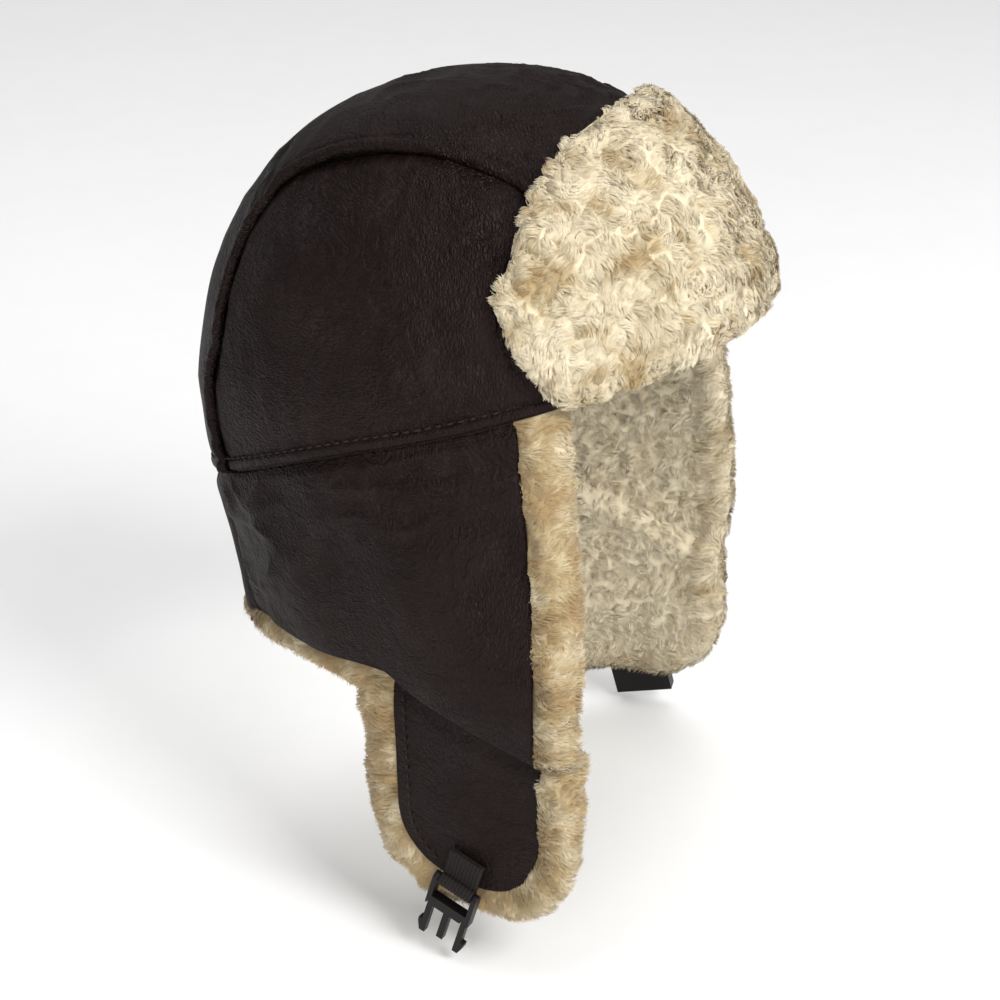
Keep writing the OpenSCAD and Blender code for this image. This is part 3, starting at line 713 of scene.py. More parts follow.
def neckLeather():  # the outline behind, with dents, a tuck at the hem and a welt at each seam
    k = neck
    share = np.linspace(-1, 1, k["columns"])[:, None]
    v = np.concatenate([[-0.06, -0.03], np.linspace(0, 1, k["rows"])])[None, :]
    top = hemZ(neckPoint(share, 0 * share, 0.0)[..., 1]) - hat["foldGap"]
    depth = flap["hemDepth"] * smooth(-v / 0.03)
    p = neckPoint(share + 0 * v, mix(top, -hat["neckDrop"], v), depth)
    seam = (1 - np.abs(share)) * k["seamWide"]
    relief = k["wrinkle"] * cellNoise(p, k["wrinkleCell"], 91) + k["fine"] * cellNoise(p, k["fineCell"], 92)
    relief = relief * smooth(v * k["hemFade"]) - flap["hemTuck"] * smooth(1 - v * k["tuckFade"])
    relief = relief + k["seamPuff"] * bell(seam - k["puffAt"], k["puffWide"])
    relief = relief - k["seamGroove"] * bell(seam, k["grooveWide"])
    return p + gridNormals(p, p) * relief[..., None]


neckSkin = neckLeather()
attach(leatherGrid("neckLeather", neckSkin, neckSkin, ["neck_panel"]), "crown")

# The visor's leather back
visor = dict(columns=200, rows=90, furColumns=260, furRows=130, furEdge=8.0, puff=6.2, farSlim=0.5, gap=0.3,
             dent=0.5, dentCell=30, sink=0.6, backPuff=1.2, strands=66000, rimStrands=18000, rimColumns=14,
             rimRows=9)


def visorPoint(turn, z, out):  # the dome's front, opened by a share of its rise, and moved out
    base = levelZ(hemPoint(turn)[1])
    rise = (1 - hat["visorOpen"]) * np.maximum(0, (z - base) / (hat["high"] - base))
    stand = hat["foldGap"] + out
    e = 2 / hat["fullFront"]
    x = (stand + hat["halfW"] * oval(rise, 1, fullAt(math.pi / 4))) * signPow(np.sin(turn), e)
    y = -(stand + hat["halfL"] * oval(rise, 1, hat["fullAlong"])) * signPow(np.cos(turn), e)
    return stack(x, y, z)


def visorGrid(columns, rows, end, high):  # turns, rises and heights over the visor, closer set at its edges
    a = np.linspace(-1, 1, columns)[:, None]
    turn = end * (0.6 * a + 0.4 * np.sin(a * math.pi / 2))
    v = np.linspace(0, 1, rows)[None, :]
    v = 0.6 * v + 0.2 * (1 - np.cos(v * math.pi))
    span = np.radians(hat["cornerTurn"])
    low = hemZ(hemPoint(turn)[1]) + hat["foldGap"]
    low = low + hat["cornerRise"] * unit((np.abs(turn) - end + span) / span) ** 2
    foot = low + hat["visorLeast"]
    bow = np.maximum(1 - unit(np.abs(turn) / end) ** hat["visorSquare"], 0) ** (1 / hat["visorBow"])
    return turn + 0 * v, v + 0 * turn, mix(low, foot + (high - foot) * bow, v)


visorEnd = math.radians(hat["visorTurn"])
turn, _, z = visorGrid(visor["columns"], visor["rows"], visorEnd, hat["visorHigh"])
visorBack = visorPoint(turn, z, visor["gap"])
visorRef = -visorBack * np.array([1.0, 1, 0])
visorDents = visor["dent"] * cellNoise(visorBack, visor["dentCell"], 95)
visorBack = visorBack + gridNormals(visorBack, visorRef) * visorDents[..., None]
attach(leatherGrid("visorLeather", visorBack, visorRef, ["visor_panel"]), "visor")
print("neck and visor leather made")


# Fleece: a lumpy body of matted wool, and fine ribbons that gather into locks over it
# tips: painted shade along each strand's points, darkest at its root
fleece = dict(fine=0.6, fineCell=3.4, whorl=0.8, whorlCell=16.0, perObject=20000, lockHalf=0.6,
              sizes=(0.7, 1.05), along=0.85, lockAlong=0.8, stray=0.16, arch=0.15, sink=0.5, toneJitter=0.05,
              lockShade=0.1, roll=0.45, tips=np.array([0.35, 0.35, 0.8, 0.8, 1.0]), hang=(0, 0, -0.25))
plush = dict(lump=2.5, lumpCell=8.5, long=4.6, wide=0.15, lift=0.27, lock=4.8, gather=0.4, sway=0.3,
             rounding=0.5, tone=0.64, vary=0.5, patch=11.0, hueJitter=0.06)
curled = dict(lump=1.9, lumpCell=6.0, long=4.4, wide=0.13, lift=0.4, lock=3.8, gather=0.6, sway=0.5,
              rounding=0.7, tone=0.96, vary=0.45, patch=8.0, hueJitter=0.07)
brushed = dict(lump=2.2, lumpCell=11.0, long=4.8, wide=0.13, lift=0.24, lock=5.0, gather=0.25, sway=0.25,
               rounding=0.35, tone=0.24, vary=0.3, patch=11.0, hueJitter=0.06)
# A paler copy of the brushed edge for the far, left flap, which less light reaches: painted light
farEdgePaintedLight = dict(brushed, tone=0.7, vary=0.4)


def toneAt(p, look, seed):  # cream with tan swirls: warped noise, mostly pale
    warp = p + 5 * noiseVectors(p, 12, seed)
    return unit(look["tone"] + look["vary"] * layeredNoise(warp, look["patch"], seed + 40, 3))


def lumps(p, look, seed):  # rounded tufts with narrow valleys between them
    warp = p + 3.5 * noiseVectors(p, 10, seed + 5)
    tuft = np.maximum(1 - 2.2 * np.abs(cellNoise(warp, look["lumpCell"], seed)), -0.8)
    return look["lump"] * (0.6 * tuft - 0.2) + fleece["fine"] * cellNoise(p, fleece["fineCell"], seed + 9)


def nearest(points, centres):  # number of the centre that is nearest to each point, worked out in blocks
    size = np.sum(centres ** 2, axis=-1)
    blocks = np.array_split(points, math.ceil(len(points) / 4000))
    return np.concatenate([np.argmin(size - 2 * block @ centres.T, axis=-1) for block in blocks])


def growStrands(roots, up, comb, locks, look, seed):
    # Root, middle and tip of each strand. A strand leans along its comb, a whorl that turns round the tops of
    # a smooth noise, and its lock's sway; a lock draws in to its tip, and is shaded as a rounded tuft
    s, count = fleece, len(roots)
    pick = np.random.default_rng(seed)
    chosen = pick.choice(count, size=min(locks, count), replace=False)
    centre, out = roots[chosen], up[chosen]
    lock = nearest(roots, centre)
    sway = look["sway"] * pick.normal(size=out.shape)
    whorl = s["whorl"] * np.cross(up, noiseSlope(roots, s["whorlCell"], seed + 1))
    lean = unitVectors(across(whorl + comb + sway[lock], up))
    away = across(roots - centre[lock], up) / (s["lockHalf"] * look["lock"])
    size = look["long"] * pick.uniform(*s["sizes"], size=(count, 1))
    stray = s["stray"] * pick.normal(size=(count, 3))
    own = roots + size * (s["along"] * lean + look["lift"] * up + stray)
    lockTip = centre + look["long"] * (s["lockAlong"] * lean[chosen] + look["lift"] * out)
    tip = mix(own, lockTip[lock], look["gather"])
    middle = mix(roots, tip, 0.5) + s["arch"] * size * up
    hue = look["hueJitter"] * pick.normal(size=len(centre))
    tone = toneAt(roots, look, seed // 10) + hue[lock] + s["toneJitter"] * pick.normal(size=count)
    tone = tone - s["lockShade"] * np.minimum(np.sum(away * away, axis=-1), 1.5)
    far = np.maximum(1, np.linalg.norm(away, axis=-1, keepdims=True))
    shade = unitVectors(up + look["rounding"] * away / far)
    return np.stack([roots - s["sink"] * up, middle, tip], axis=1), shade, unit(tone)


def strandMap(piece, count):  # its own map: one small cell for each strand
    cells = math.ceil(math.sqrt(count))
    quads = np.array([[[0.1, 0.06], [0.9, 0.06], [0.9, 0.5], [0.1, 0.5]]])
    tips = np.array([[[0.1, 0.5], [0.9, 0.5], [0.5, 0.94]]])
    cell = np.stack(np.divmod(np.arange(count), cells), -1)[:, None, None, :]
    uv = np.concatenate([((part[None] + cell) / cells).reshape(-1, 2) for part in (quads, tips)])
    layer = piece.data.uv_layers.new(name="OFBake")
    layer.data.foreach_set("uv", uv.astype(np.float32).ravel())


def strandMesh(name, lines, up, shade, tone, wide, seed):  # tapered ribbons, each turned a little
    count, per = len(lines), 5  # two points at its root, two in its middle and its tip
    along = np.gradient(lines, axis=1)
    side = unitVectors(np.cross(along, up[:, None]))
    over = unitVectors(np.cross(side, along))
    roll = np.random.default_rng(seed + 5).normal(0, fleece["roll"], size=(count, 1, 1))
    half = wide * (np.cos(roll) * side + np.sin(roll) * over)[:, :2]
    pairs = np.stack([lines[:, :2] - half, lines[:, :2] + half], axis=2).reshape(count, 4, 3)
    points = np.concatenate([pairs, lines[:, 2:]], axis=1).reshape(-1, 3)
    shift = per * np.arange(count)[:, None]
    faces = [np.array([0, 1, 3, 2]) + shift, np.array([2, 3, 4]) + shift]
    piece = makePiece(name, points, faces, fleeceCream)
    addAttribute(piece, "tone", np.repeat(tone, per))
    # Tip values along each strand: painted shade towards its root
    addAttribute(piece, "tip", np.tile(fleece["tips"], count))
    strandMap(piece, count)
    piece.data.normals_split_custom_set_from_vertices(np.repeat(shade, per, axis=0))
    return piece


def scatter(fields, quads, count, seed):  # values of some fields at random places on a mesh, evenly by area
    pick = np.random.default_rng(seed)
    area = np.linalg.norm(quadNormals(fields[0], quads), axis=-1) / 2
    a, b, c, d = quads[pick.choice(len(quads), size=count, p=area / area.sum())].T
    s, t = pick.uniform(size=(2, count, 1))
    return [mix(mix(v[a], v[b], s), mix(v[d], v[c], s), t) for v in fields], area.sum()


def strandPieces(name, points, normals, comb, quads, count, look, seed, keep=None):
    # Strands rooted evenly over some quads, less those outside keep, in groups of one object each
    comb = np.broadcast_to(np.asarray(comb, float), points.shape)
    (roots, up, combed), area = scatter([points, normals, comb], quads, count, seed)
    wanted = np.ones(count, bool) if keep is None else keep(toCrown(roots))
    roots, up, combed = roots[wanted], unitVectors(up[wanted]), combed[wanted]
    lines, shade, tone = growStrands(roots, up, combed, int(area / look["lock"] ** 2), look, seed)
    groups = np.array_split(np.arange(len(lines)), math.ceil(len(lines) / fleece["perObject"]))
    return [strandMesh(f"{name}{k + 1}", lines[g], up[g], shade[g], tone[g], look["wide"], seed + k)
            for k, g in enumerate(groups)]


def fleecePiece(name, lumpy, quads, tone, tip, nodes):  # the matted body of a fleece
    piece = makePiece(name, lumpy, [quads], fleeceCream)
    addAttribute(piece, "tone", tone)
    addAttribute(piece, "tip", tip)
    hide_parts(*nodes)
    return piece


# Visor fleece: a pillow whose front swells out and whose edges close round the leather
def visorFleece():  # front and back of the pillow: moved out by a puff that fades at its edges
    k = visor
    end = visorEnd + k["furEdge"] / hat["halfW"]
    turn, v, z = visorGrid(k["furColumns"], k["furRows"], end, hat["visorHigh"] + k["furEdge"])
    full = np.sqrt(np.maximum((1 - np.abs(turn / end) ** 6) * (1 - np.abs(2 * v - 1) ** 5), 0))
    near = furOut - k["sink"]
    puff = k["puff"] * (1 - k["farSlim"] * smooth(turn / end)) * full
    return visorPoint(turn, z, near + puff), visorPoint(turn, z, near - k["backPuff"] * full), full


front, rear, full = visorFleece()
shape = front.shape[:2]
outward = toWorn(front * np.array([1.0, 1, 0]))
frontNormals = gridNormals(toWorn(front), outward).reshape(-1, 3)
visorPoints = toWorn(np.concatenate([front.reshape(-1, 3), rear.reshape(-1, 3)]))
frontQuads = facingQuads(visorPoints, gridQuads(*shape), np.tile(outward.reshape(-1, 3), (2, 1)))
visorQuads = np.concatenate([frontQuads, frontQuads[:, ::-1] + shape[0] * shape[1]])
visorNormals = np.concatenate([frontNormals, -frontNormals])
height = lumps(visorPoints, plush, 101) * np.concatenate([smooth(full * 1.6).ravel(), 0 * full.ravel()])
lumpy = visorPoints + visorNormals * height[:, None]
# Its tip value falls in the valleys between the lumps: painted shade
made = [fleecePiece("visorFleece", lumpy, visorQuads, toneAt(visorPoints, plush, 10),
                    unit(0.45 + 0.3 * height), ["visor_fur"])]
made += strandPieces("visorStrands", lumpy, visorNormals, (0, -0.1, -0.35), frontQuads, visor["strands"],
                     plush, 103)
column, row = np.divmod(np.arange(len(frontQuads)), shape[1] - 1)
rim = np.minimum(column, shape[0] - 2 - column) < visor["rimColumns"]
rim = rim | (np.minimum(row, shape[1] - 2 - row) < visor["rimRows"])
made += strandPieces("visorRimStrands", lumpy, visorNormals, (0, -0.1, -0.2), frontQuads[rim],
                     visor["rimStrands"], plush, 105)
for item in made:
    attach(item, "visor")
print("visor fleece made")


# Flap and neck fleece: a lining of fur inside, rolled out round the free edges of the leather
roll = dict(centre=5.0, reach=9.4, middle=6.4, deep=7.4, turns=11, taper=0.12, hemDepth=5.5, clearHigh=11.0,
            clearFront=-50.0, capRise=2.0, capSizes=np.array([0.02, 0.35, 0.65, 0.88]), press=3.6,
            fuller=0.32, fullerFrom=0.3, fullerOver=0.5, pressWide=17.0, pressBelow=155, pressOver=15,
            combed=1.4, rows=(14, 100), tuckGrow=[1.5, -2.0, -5.0], tuckDepth=[0.2, 2.7, 3.4],
            strands=(26000, 24000, 16000))


def rollProfile():  # growth past the leather's edge, and depth below its face, round the roll
    s = roll
    a = np.radians(np.linspace(-90, 90, s["turns"]))
    grow = np.concatenate([s["centre"] + s["reach"] * np.cos(a), s["tuckGrow"]])
    depth = np.concatenate([s["middle"] - s["deep"] * np.sin(a), s["tuckDepth"]])
    return grow, depth


def edgedFleece(face, faceQuads, edge, rings, capped):
    # Joins the rings carried round a free edge to the face; the comb runs out from the leather over the roll.
    # A cap draws the first ring of places in to its middle, to close the roll's upper end
    grid = np.concatenate([face[edge][None], rings])
    index = np.concatenate([edge[None], len(face) + np.arange(rings[..., 0].size).reshape(rings.shape[:2])])
    comb = -unitVectors(np.gradient(grid, axis=0))
    points = np.concatenate([face, rings.reshape(-1, 3)])
    combs = np.concatenate([0 * face, comb[1:].reshape(-1, 3)])
    if capped:
        loop, size = grid[:, :1], roll["capSizes"][None, :, None]
        cap = mix(loop.mean(axis=0), loop, size) + (1 - size) * np.array([0, 0, roll["capRise"]])
        capIndex = len(points) + np.arange(cap[..., 0].size).reshape(cap.shape[:2])
        index = np.concatenate([capIndex, index], axis=1)
        points = np.concatenate([points, cap.reshape(-1, 3)])
        combs = np.concatenate([combs, 0 * cap.reshape(-1, 3)])
    return points, faceQuads, quadsOf(index), combs


def flapFleece(side, sweep):  # a face that sinks below the hem, and a roll carried round its free edge
    s = roll
    high, low = s["rows"]
    rows = np.concatenate([np.linspace(0, s["taper"], high, endpoint=False), np.linspace(s["taper"], 1, low)])
    deepest = s["middle"] + s["deep"]
    face, u, v, quads, edge = flapSheet(
        rows, lambda v: mix(s["hemDepth"], deepest, smooth(v / s["taper"])), sweep)
    grow, deep = rollProfile()
    back = u[edge] / hat["tabShare"]
    past = 1 - smooth((back - 1) / s["fullerOver"])
    full = 1 + s["fuller"] * smooth((back - s["fullerFrom"]) / s["fullerOver"]) * past
    rings = flapPoint(u[edge][None, :], v[edge][None, :], deep[:, None], grow[:, None] * full, sweep)
    return edgedFleece(onSide(face, side), quads, edge, onSide(rings, side), True)


def neckFleece():  # the same behind the head, with the roll along its lower edge
    s = roll
    low = -hat["neckDrop"]
    share = np.linspace(-1, 1, neck["columns"])
    v = np.linspace(0, 1, neck["furRows"])
    depth = mix(s["hemDepth"], s["middle"] + s["deep"], smooth(v / neck["furTaper"]))
    top = hemZ(neckPoint(share[:, None], 0 * share[:, None], depth[None, :])[..., 1]) - hat["foldGap"]
    face = neckPoint(share[:, None], mix(top, low, v[None, :]), depth[None, :])
    grow, deep = rollProfile()
    rings = neckPoint(share[None, :], low - backGrow(grow)[:, None] + 0 * share, deep[:, None])
    edge = np.arange(len(share)) * len(v) + len(v) - 1
    return edgedFleece(face.reshape(-1, 3), gridQuads(*face.shape[:2]), edge, rings, False)


def clearOfHem(p):  # places low enough, or far enough forward, for strands to stay out of the crown
    return p[:, 2] < np.where(p[:, 1] < roll["clearFront"], roll["clearHigh"] + 2, roll["clearHigh"])


def finishFleece(name, made, inward, strands, seed, nodes, edged, buckleY):
    # Winds and lumps a fleece, pressed in under the buckle, and grows its strands
    points, faceQuads, strip, comb = made
    points, comb = toWorn(points), toWorn(comb)
    ref = np.tile(np.array(inward, float), (len(points), 1))
    faceQuads = facingQuads(points, faceQuads, ref)
    rings = len(rollProfile()[0])
    perRow = len(strip) // rings
    turned = facingQuads(points, strip[:3 * perRow], ref)[0, 0] != strip[0, 0]
    strip = strip[:, ::-1] if turned else strip
    quads = np.concatenate([faceQuads, strip])
    normals = pointNormals(points, quads)
    onRoll = np.zeros(len(points), bool)
    onRoll[strip[perRow:].ravel()] = True
    height = np.where(onRoll, lumps(points, edged, seed), lumps(points, curled, seed))
    pressed = smooth((-points[:, 2] - roll["pressBelow"]) / roll["pressOver"])
    pressed = bell(points[:, 1] - buckleY, roll["pressWide"]) * pressed
    height = mix(height, -roll["press"], pressed)
    lumpy = points + normals * height[:, None]
    tone = np.where(onRoll, toneAt(points, edged, (seed + 3) // 10), toneAt(points, curled, (seed + 1) // 10))
    # Tip value lower in the valleys, and nought on the last rings tucked under the leather: painted shade
    tip = unit(0.5 + 0.3 * height)
    tip[strip[(rings - 2) * perRow:].ravel()] = 0
    pieces = [fleecePiece(name + "Fleece", lumpy, quads, tone, tip, nodes)]
    pieces += strandPieces(name + "Strands", lumpy, normals, fleece["hang"], faceQuads, strands[0], curled,
                           seed + 1, clearOfHem)
    outer, comb = (rings - 4) * perRow, roll["combed"] * comb
    pieces += strandPieces(name + "EdgeStrands", lumpy, normals, comb, strip[:outer], strands[1], edged,
                           seed + 3, clearOfHem)
    pieces += strandPieces(name + "RimStrands", lumpy, normals, comb, strip[outer:outer + 3 * perRow],
                           strands[2], edged, seed + 3, clearOfHem)
    return pieces


for side, word, sweep in sides:
    # The left flap's edge takes the paler copy: painted light
    made = finishFleece(word + "Flap", flapFleece(side, sweep), (-side, 0, 0), roll["strands"],
                        151 if side < 0 else 171, [word + "_flap_fur"], brushed if side < 0 else farEdgePaintedLight,
                        sweep - hat["webbingFront"])
    for item in made:
        blendSkirt(item)
print("flap fleece made")

# Strips that bridge the hem and the flap; they lie inside the flap. Each has its
# front and back, its drop below the hem, and a start and an end place
bridge = dict(columns=110, rows=36, over=1.0, skin=3.0, fur=4.6, thick=1.2, strands=6000)
bridgeParts = dict(Front=dict(front=-62.0, back=22.0, drop=16.0, start=(0.0, 13.0), end=(0.0, -2.0)),
                   Rear=dict(front=16.0, back=84.0, drop=14.0, start=(20.1, 12.5), end=(10.5, -14.2)))


def bridgeStrip(part, side, depth, name, material):  # a strip of the flap's upper edge, at a depth
    y = np.linspace(part["front"], part["back"], bridge["columns"])[:, None]
    z = hemZ(y) - np.linspace(-bridge["over"], part["drop"], bridge["rows"])[None, :]
    p = toWorn(onSide(stack(-hemX(y + 0 * z, np.minimum(z, 0), depth), y + 0 * z, z), side))
    inward = np.tile(np.array([-float(side), 0, 0]), (p[..., 0].size, 1))
    flat = p.reshape(-1, 3)
    quads = facingQuads(flat, gridQuads(*p.shape[:2]), inward)
    return makePiece(name, flat, [quads], material), flat, quads, inward


def bridgeFold(name, part, side):  # leather, fleece and strands of one strip
    s = bridge
    skin = thicken(bridgeStrip(part, side, s["skin"], name + "Leather", leatherBrown)[0], s["thick"])
    wool, flat, quads, inward = bridgeStrip(part, side, s["fur"], name + "Fleece", fleeceCream)
    addAttribute(wool, "tone", toneAt(flat, curled, 15))
    # Tip value lower in the valleys: painted shade
    addAttribute(wool, "tip", unit(0.5 + 0.3 * lumps(flat, curled, 157)))
    thicken(wool, s["thick"])
    tufts = strandPieces(name + "Strands", flat, inward, fleece["hang"], quads, s["strands"], curled, 158,
                         clearOfHem)
    for item in [skin, wool] + tufts:
        blendDown(item, part["start"], part["end"])


for side, word, _ in sides:
    for place, part in bridgeParts.items():
        bridgeFold(word + "Fold" + place, part, side)
print("fold strips made")

made = finishFleece("neck", neckFleece(), (0, -1, 0), neck["strands"], 191, ["neck_fur"], brushed, 0)
for item in made:
    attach(item, "crown")
print("neck fleece made")


# Stitches: short capsules of thread along a line
thread = dict(radius=0.5, sides=6, rings=5, sink=0.12, hemSteps=1600, tabSteps=60, tabFrom=1.06, tabStop=0.62)


def stitchMesh(name, starts, ends, normals, nodes):  # capsules from start to end, bowed up in the middle
    s = thread
    t = np.linspace(0, 1, s["rings"])
    bow = (np.sin(math.pi * t) * s["radius"] - s["sink"])[None, :, None]
    line = mix(starts[:, None], ends[:, None], t[None, :, None]) + normals[:, None] * bow
    side = unitVectors(np.cross(ends - starts, normals))
    wide = s["radius"] * np.sqrt(np.maximum(1 - np.abs(2 * t - 1) ** 4, 0.06))
    angle = np.arange(s["sides"])[:, None] * 2 * math.pi / s["sides"]
    ring = np.cos(angle) * side[:, None, None] + np.sin(angle) * normals[:, None, None]
    points = line[:, :, None] + ring * wide[None, :, None, None]
    per = s["rings"] * s["sides"]
    index = np.arange(per).reshape(s["rings"], s["sides"])
    quads = quadsOf(np.concatenate([index, index[:, :1]], axis=1))
    caps = np.stack([index[0], index[-1, ::-1]])
    shift = per * np.arange(len(starts))[:, None, None]
    piece = makePiece(name, points.reshape(-1, 3), [
        (quads + shift).reshape(-1, 4), (caps + shift).reshape(-1, s["sides"])], threadBrown)
    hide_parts(*nodes)
    return piece


def pacedLine(path, pitch, size):  # starts and ends of stitches at an even pitch along a path
    gone = np.concatenate([[0], np.cumsum(np.linalg.norm(np.diff(path, axis=0), axis=-1))])
    at = np.arange(pitch / 2, gone[-1] - size, pitch)
    return (stack(*(np.interp(d, gone, path[:, k]) for k in range(3))) for d in (at, at + size))


def hemStitches():  # along the hem at one height, from one side of the visor round to the other
    begin = math.radians(hat["visorTurn"] + hat["stitchTurn"])
    x, y = hemPoint(np.linspace(begin, 2 * math.pi - begin, thread["hemSteps"]))
    starts, ends = pacedLine(settle(x, y, hat["stitchInset"] + 0 * x), hat["stitchPitch"], hat["stitchLong"])
    normals = unitVectors(np.cross(ends - starts, np.array([0, 0, 1.0])))
    normals = normals * np.sign(np.sum(normals * starts, axis=-1, keepdims=True))
    lift = normals * float(hemRelief(np.array(float(hat["stitchInset"]))))
    return toWorn(starts + lift), toWorn(ends + lift), toWorn(normals)


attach(stitchMesh("hemStitches", *hemStitches(), ["hem_stitches"]), "crown")


def tabStitches(side, sweep):  # down the back of the tab and round its end, as far as the webbing
    steps = thread["tabSteps"]
    share = np.concatenate([np.ones(steps), np.linspace(1, thread["tabStop"], steps)])
    s = np.concatenate([np.linspace(thread["tabFrom"], 2, steps), np.full(steps, 2.0)])
    p = flapPoint(hat["tabShare"] * share, s, 0.0, -float(hat["stitchInset"]), sweep)
    p = p - np.array([1.0, 0, 0]) * flapRelief(p, s, flap["seeds"][side])[:, None]
    starts, ends = (onSide(k, side) for k in pacedLine(p, hat["stitchPitch"], hat["stitchLong"]))
    normals = across(np.array([float(side), 0, 0]), unitVectors(ends - starts))
    return toWorn(starts), toWorn(ends), toWorn(unitVectors(normals))


for side, word, sweep in sides:
    piece = stitchMesh(word + "TabStitches", *tabStitches(side, sweep), [word + "_flap_stitches"])
    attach(piece, word + "_flap")
print("stitches made")


# Chin webbing: a ribbed band that goes round the buckle's bar and is sewn to the tab in two layers
band = dict(ribs=10, ribDeep=0.34, acrossSteps=81, loopSteps=40, straightSteps=12, ribRoom=0.12, edgeFull=14,
            thinnest=0.15)


def barFrame(tilt, sweep):  # place of the bar's middle, and its directions: across, outward and up
    u = np.array(hat["tabShare"] / 2)
    z = -hat["tabDrop"] - hat["tabRound"] + hat["barRise"]
    sway = sweep * unit((flapTop(u, 0 * u)[1] - z) / hat["tabDrop"]) * (1 - u ** 4)
    tip = toCrown([0.0, sway - hat["webbingFront"], z])
    half = hat["webbingW"] / 2
    x = hemX(tip[1] + np.array([-half, 0, half]), tip[2], 0)
    slope = math.atan2(x[0] - x[2], hat["webbingW"])
    lean = math.radians(hat["tilt"] + tilt)
    c, s = math.cos(slope), math.sin(slope)
    spin = np.array([[c, s, 0], [-s, c, 0], [0, 0, 1]])
    sideways, out, up = (spin @ np.array(v) for v in (
        (0, math.cos(lean), math.sin(lean)), (-1.0, 0, 0), (0, -math.sin(lean), math.cos(lean))))
    seat = hat["barD"] / 2 + hat["pinGap"] + hat["webbingT"] + hat["foldGap"]
    return np.array([-x[1], tip[1], tip[2]]) + out * seat, sideways, out, up


def webbingPath():  # middle of the band in (outward, up): down the front, round the bar, and up the back
    t = hat["webbingT"]
    bore = hat["barD"] / 2 + hat["pinGap"]
    r, rise = bore + t / 2, hat["webbingSewn"] + bore + t
    meet = math.acos((t - r) / r)
    a = np.linspace(meet, -math.pi, band["loopSteps"])
    down = np.linspace(rise, math.sin(meet) * r, band["straightSteps"], endpoint=False)
    climb = np.linspace(0, rise, band["straightSteps"] + 1)[1:]
    return np.concatenate([stack(t - r, down), stack(r * np.cos(a), r * np.sin(a)), stack(-r, climb)])


def webbingBand(side, sweep, tilt):  # a ribbed section carried along the path, set on the bar
    path = webbingPath()
    way = unitVectors(np.gradient(path, axis=0))
    normal = stack(-way[:, 1], way[:, 0])
    x = np.linspace(-1, 1, band["acrossSteps"])
    ribs = band["ribDeep"] * (np.abs(np.sin((x + 1) / 2 * math.pi * band["ribs"])) - 1)
    full = (hat["webbingT"] / 2 - band["ribRoom"]) * np.sqrt(1 - np.abs(x) ** band["edgeFull"])
    thick = np.maximum(full + ribs, band["thinnest"])
    faces = [path[:, None] + k * normal[:, None] * thick[None, :, None] for k in (1, -1)]
    ring = np.concatenate([faces[0], faces[1][:, ::-1]], axis=1)
    wide = np.concatenate([x, x[::-1]]) * hat["webbingW"] / 2
    centre, sideways, out, up = barFrame(tilt, sweep)
    return onSide(centre + wide[None, :, None] * sideways + ring[..., :1] * out + ring[..., 1:] * up, side)


for side, word, sweep in sides:
    p = webbingBand(side, sweep, hat["rightTilt"] if side < 0 else -hat["leftTilt"])
    index = np.arange(p.shape[0] * p.shape[1]).reshape(p.shape[:2])
    ends = [index[:1], index[-1:, ::-1]]
    loop = quadsOf(np.concatenate([index, index[:, :1]], axis=1))
    piece = makePiece(word + "Webbing", toWorn(p).reshape(-1, 3), [loop] + ends, webbingBlack)
    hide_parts(word + "_webbing")
    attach(piece, word + "_flap")
print("webbing made")

# The buckle's moulded halves keep their solids, with softened edges
moulding = dict(weld=0.00001, soften=0.0004, segments=2, angle=35)
for node in ("male_buckle", "male_prong_front", "male_prong_rear", "female_buckle"):
    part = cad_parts[node]
    part.data.materials.clear()
    part.data.materials.append(plasticBlack)
    weld = part.modifiers.new("weld", "WELD")
    weld.merge_threshold = moulding["weld"]
    bevel = part.modifiers.new("soften", "BEVEL")
    bevel.width, bevel.segments = moulding["soften"], moulding["segments"]
    bevel.limit_method = "ANGLE"
    bevel.angle_limit = math.radians(moulding["angle"])
print("buckle dressed")


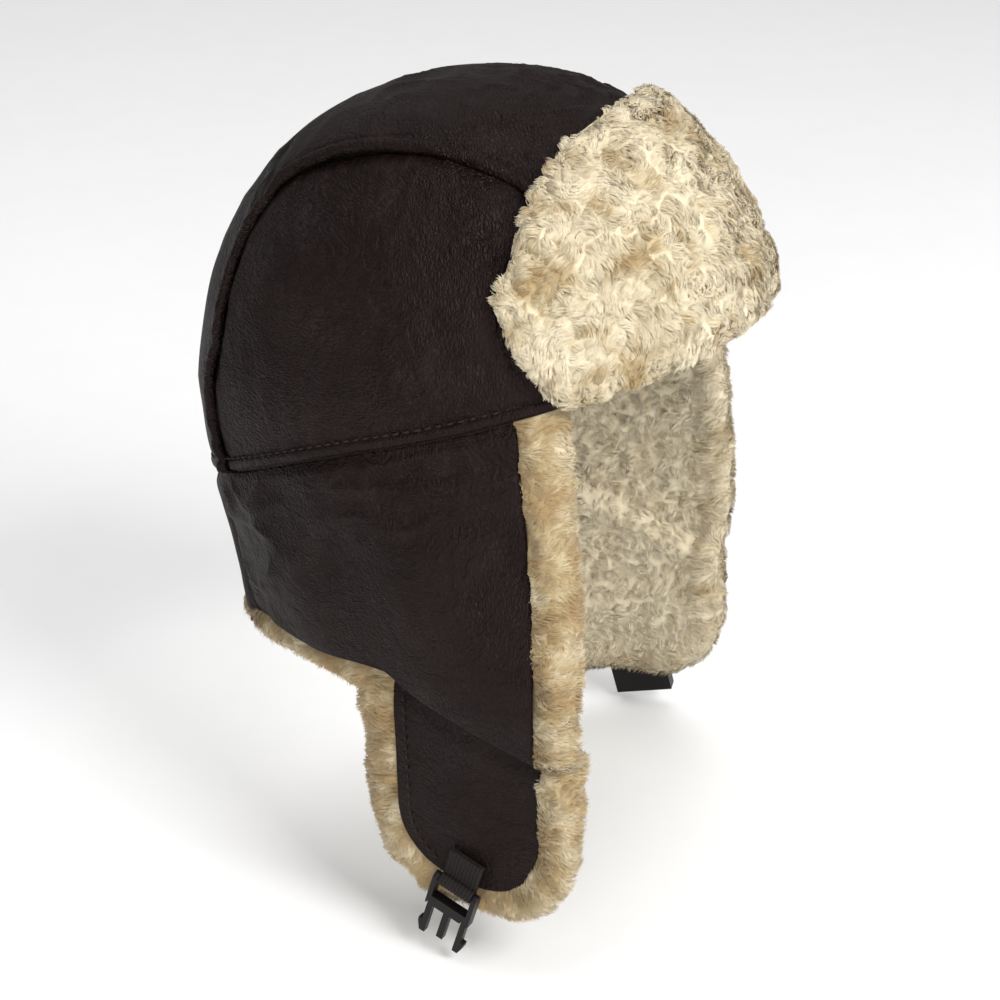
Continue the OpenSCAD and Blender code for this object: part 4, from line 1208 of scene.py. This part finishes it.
# Floor, light and camera
studio = dict(floorDrop=0.004, floorHalf=6.0, lens=81.9, sensor=36.0, eye=(-0.7725, -0.3759, 0.3869),
              target=(-0.0153, -0.0066, -0.0424), world=0.34)
lights = dict(keyLight=dict(place=(-0.55, -1.35, 1.15), size=0.8, watts=30),
              fillLight=dict(place=(-1.55, -0.55, 0.5), size=1.0, watts=13),
              topLight=dict(place=(0.4, 0.4, 2.6), size=3.0, watts=44))
low, high = cadBox
floorZ = low.z - studio["floorDrop"]
half = studio["floorHalf"]
floorMesh = bpy.data.meshes.new("floor")
floorMesh.from_pydata([(half * x, half * y, floorZ) for x, y in ((-1, -1), (1, -1), (1, 1), (-1, 1))],
                      [], [(0, 1, 2, 3)])
floor = bpy.data.objects.new("floor", floorMesh)
bpy.context.scene.collection.objects.link(floor)
floorPaint, floorShader, floorPlace = newMaterial("paleFloor")
floorTone = floorPlace.noise(30.0, 3.0).mixed((0.95, 0.95, 0.945, 1), (0.92, 0.92, 0.92, 1))
setShader(floorShader, {"Base Color": floorTone, "Roughness": 0.9})
floorMesh.materials.append(floorPaint)

world = bpy.data.worlds.new("studio")
bpy.context.scene.world = world
world.use_nodes = True
world.node_tree.nodes["Background"].inputs[0].default_value = (1.0, 1.0, 1.0, 1)
world.node_tree.nodes["Background"].inputs[1].default_value = studio["world"]


def softbox(name, place, size, watts):  # a square light aimed at the hat
    lamp = bpy.data.lights.new(name, "AREA")
    lamp.size = size
    lamp.energy = watts
    holder = bpy.data.objects.new(name, lamp)
    holder.location = place
    holder.rotation_euler = (-Vector(place)).to_track_quat("-Z", "Y").to_euler()
    bpy.context.scene.collection.objects.link(holder)


for name, settings in lights.items():
    softbox(name, **settings)

camera = bpy.data.objects.new("camera", bpy.data.cameras.new("camera"))
camera.data.lens, camera.data.sensor_width = studio["lens"], studio["sensor"]
camera.location = studio["eye"]
camera.rotation_euler = (Vector(studio["target"]) - Vector(studio["eye"])).to_track_quat("-Z", "Y").to_euler()
bpy.context.scene.collection.objects.link(camera)
bpy.context.scene.camera = camera
bpy.context.scene.view_settings.view_transform = "Standard"
print("studio set")
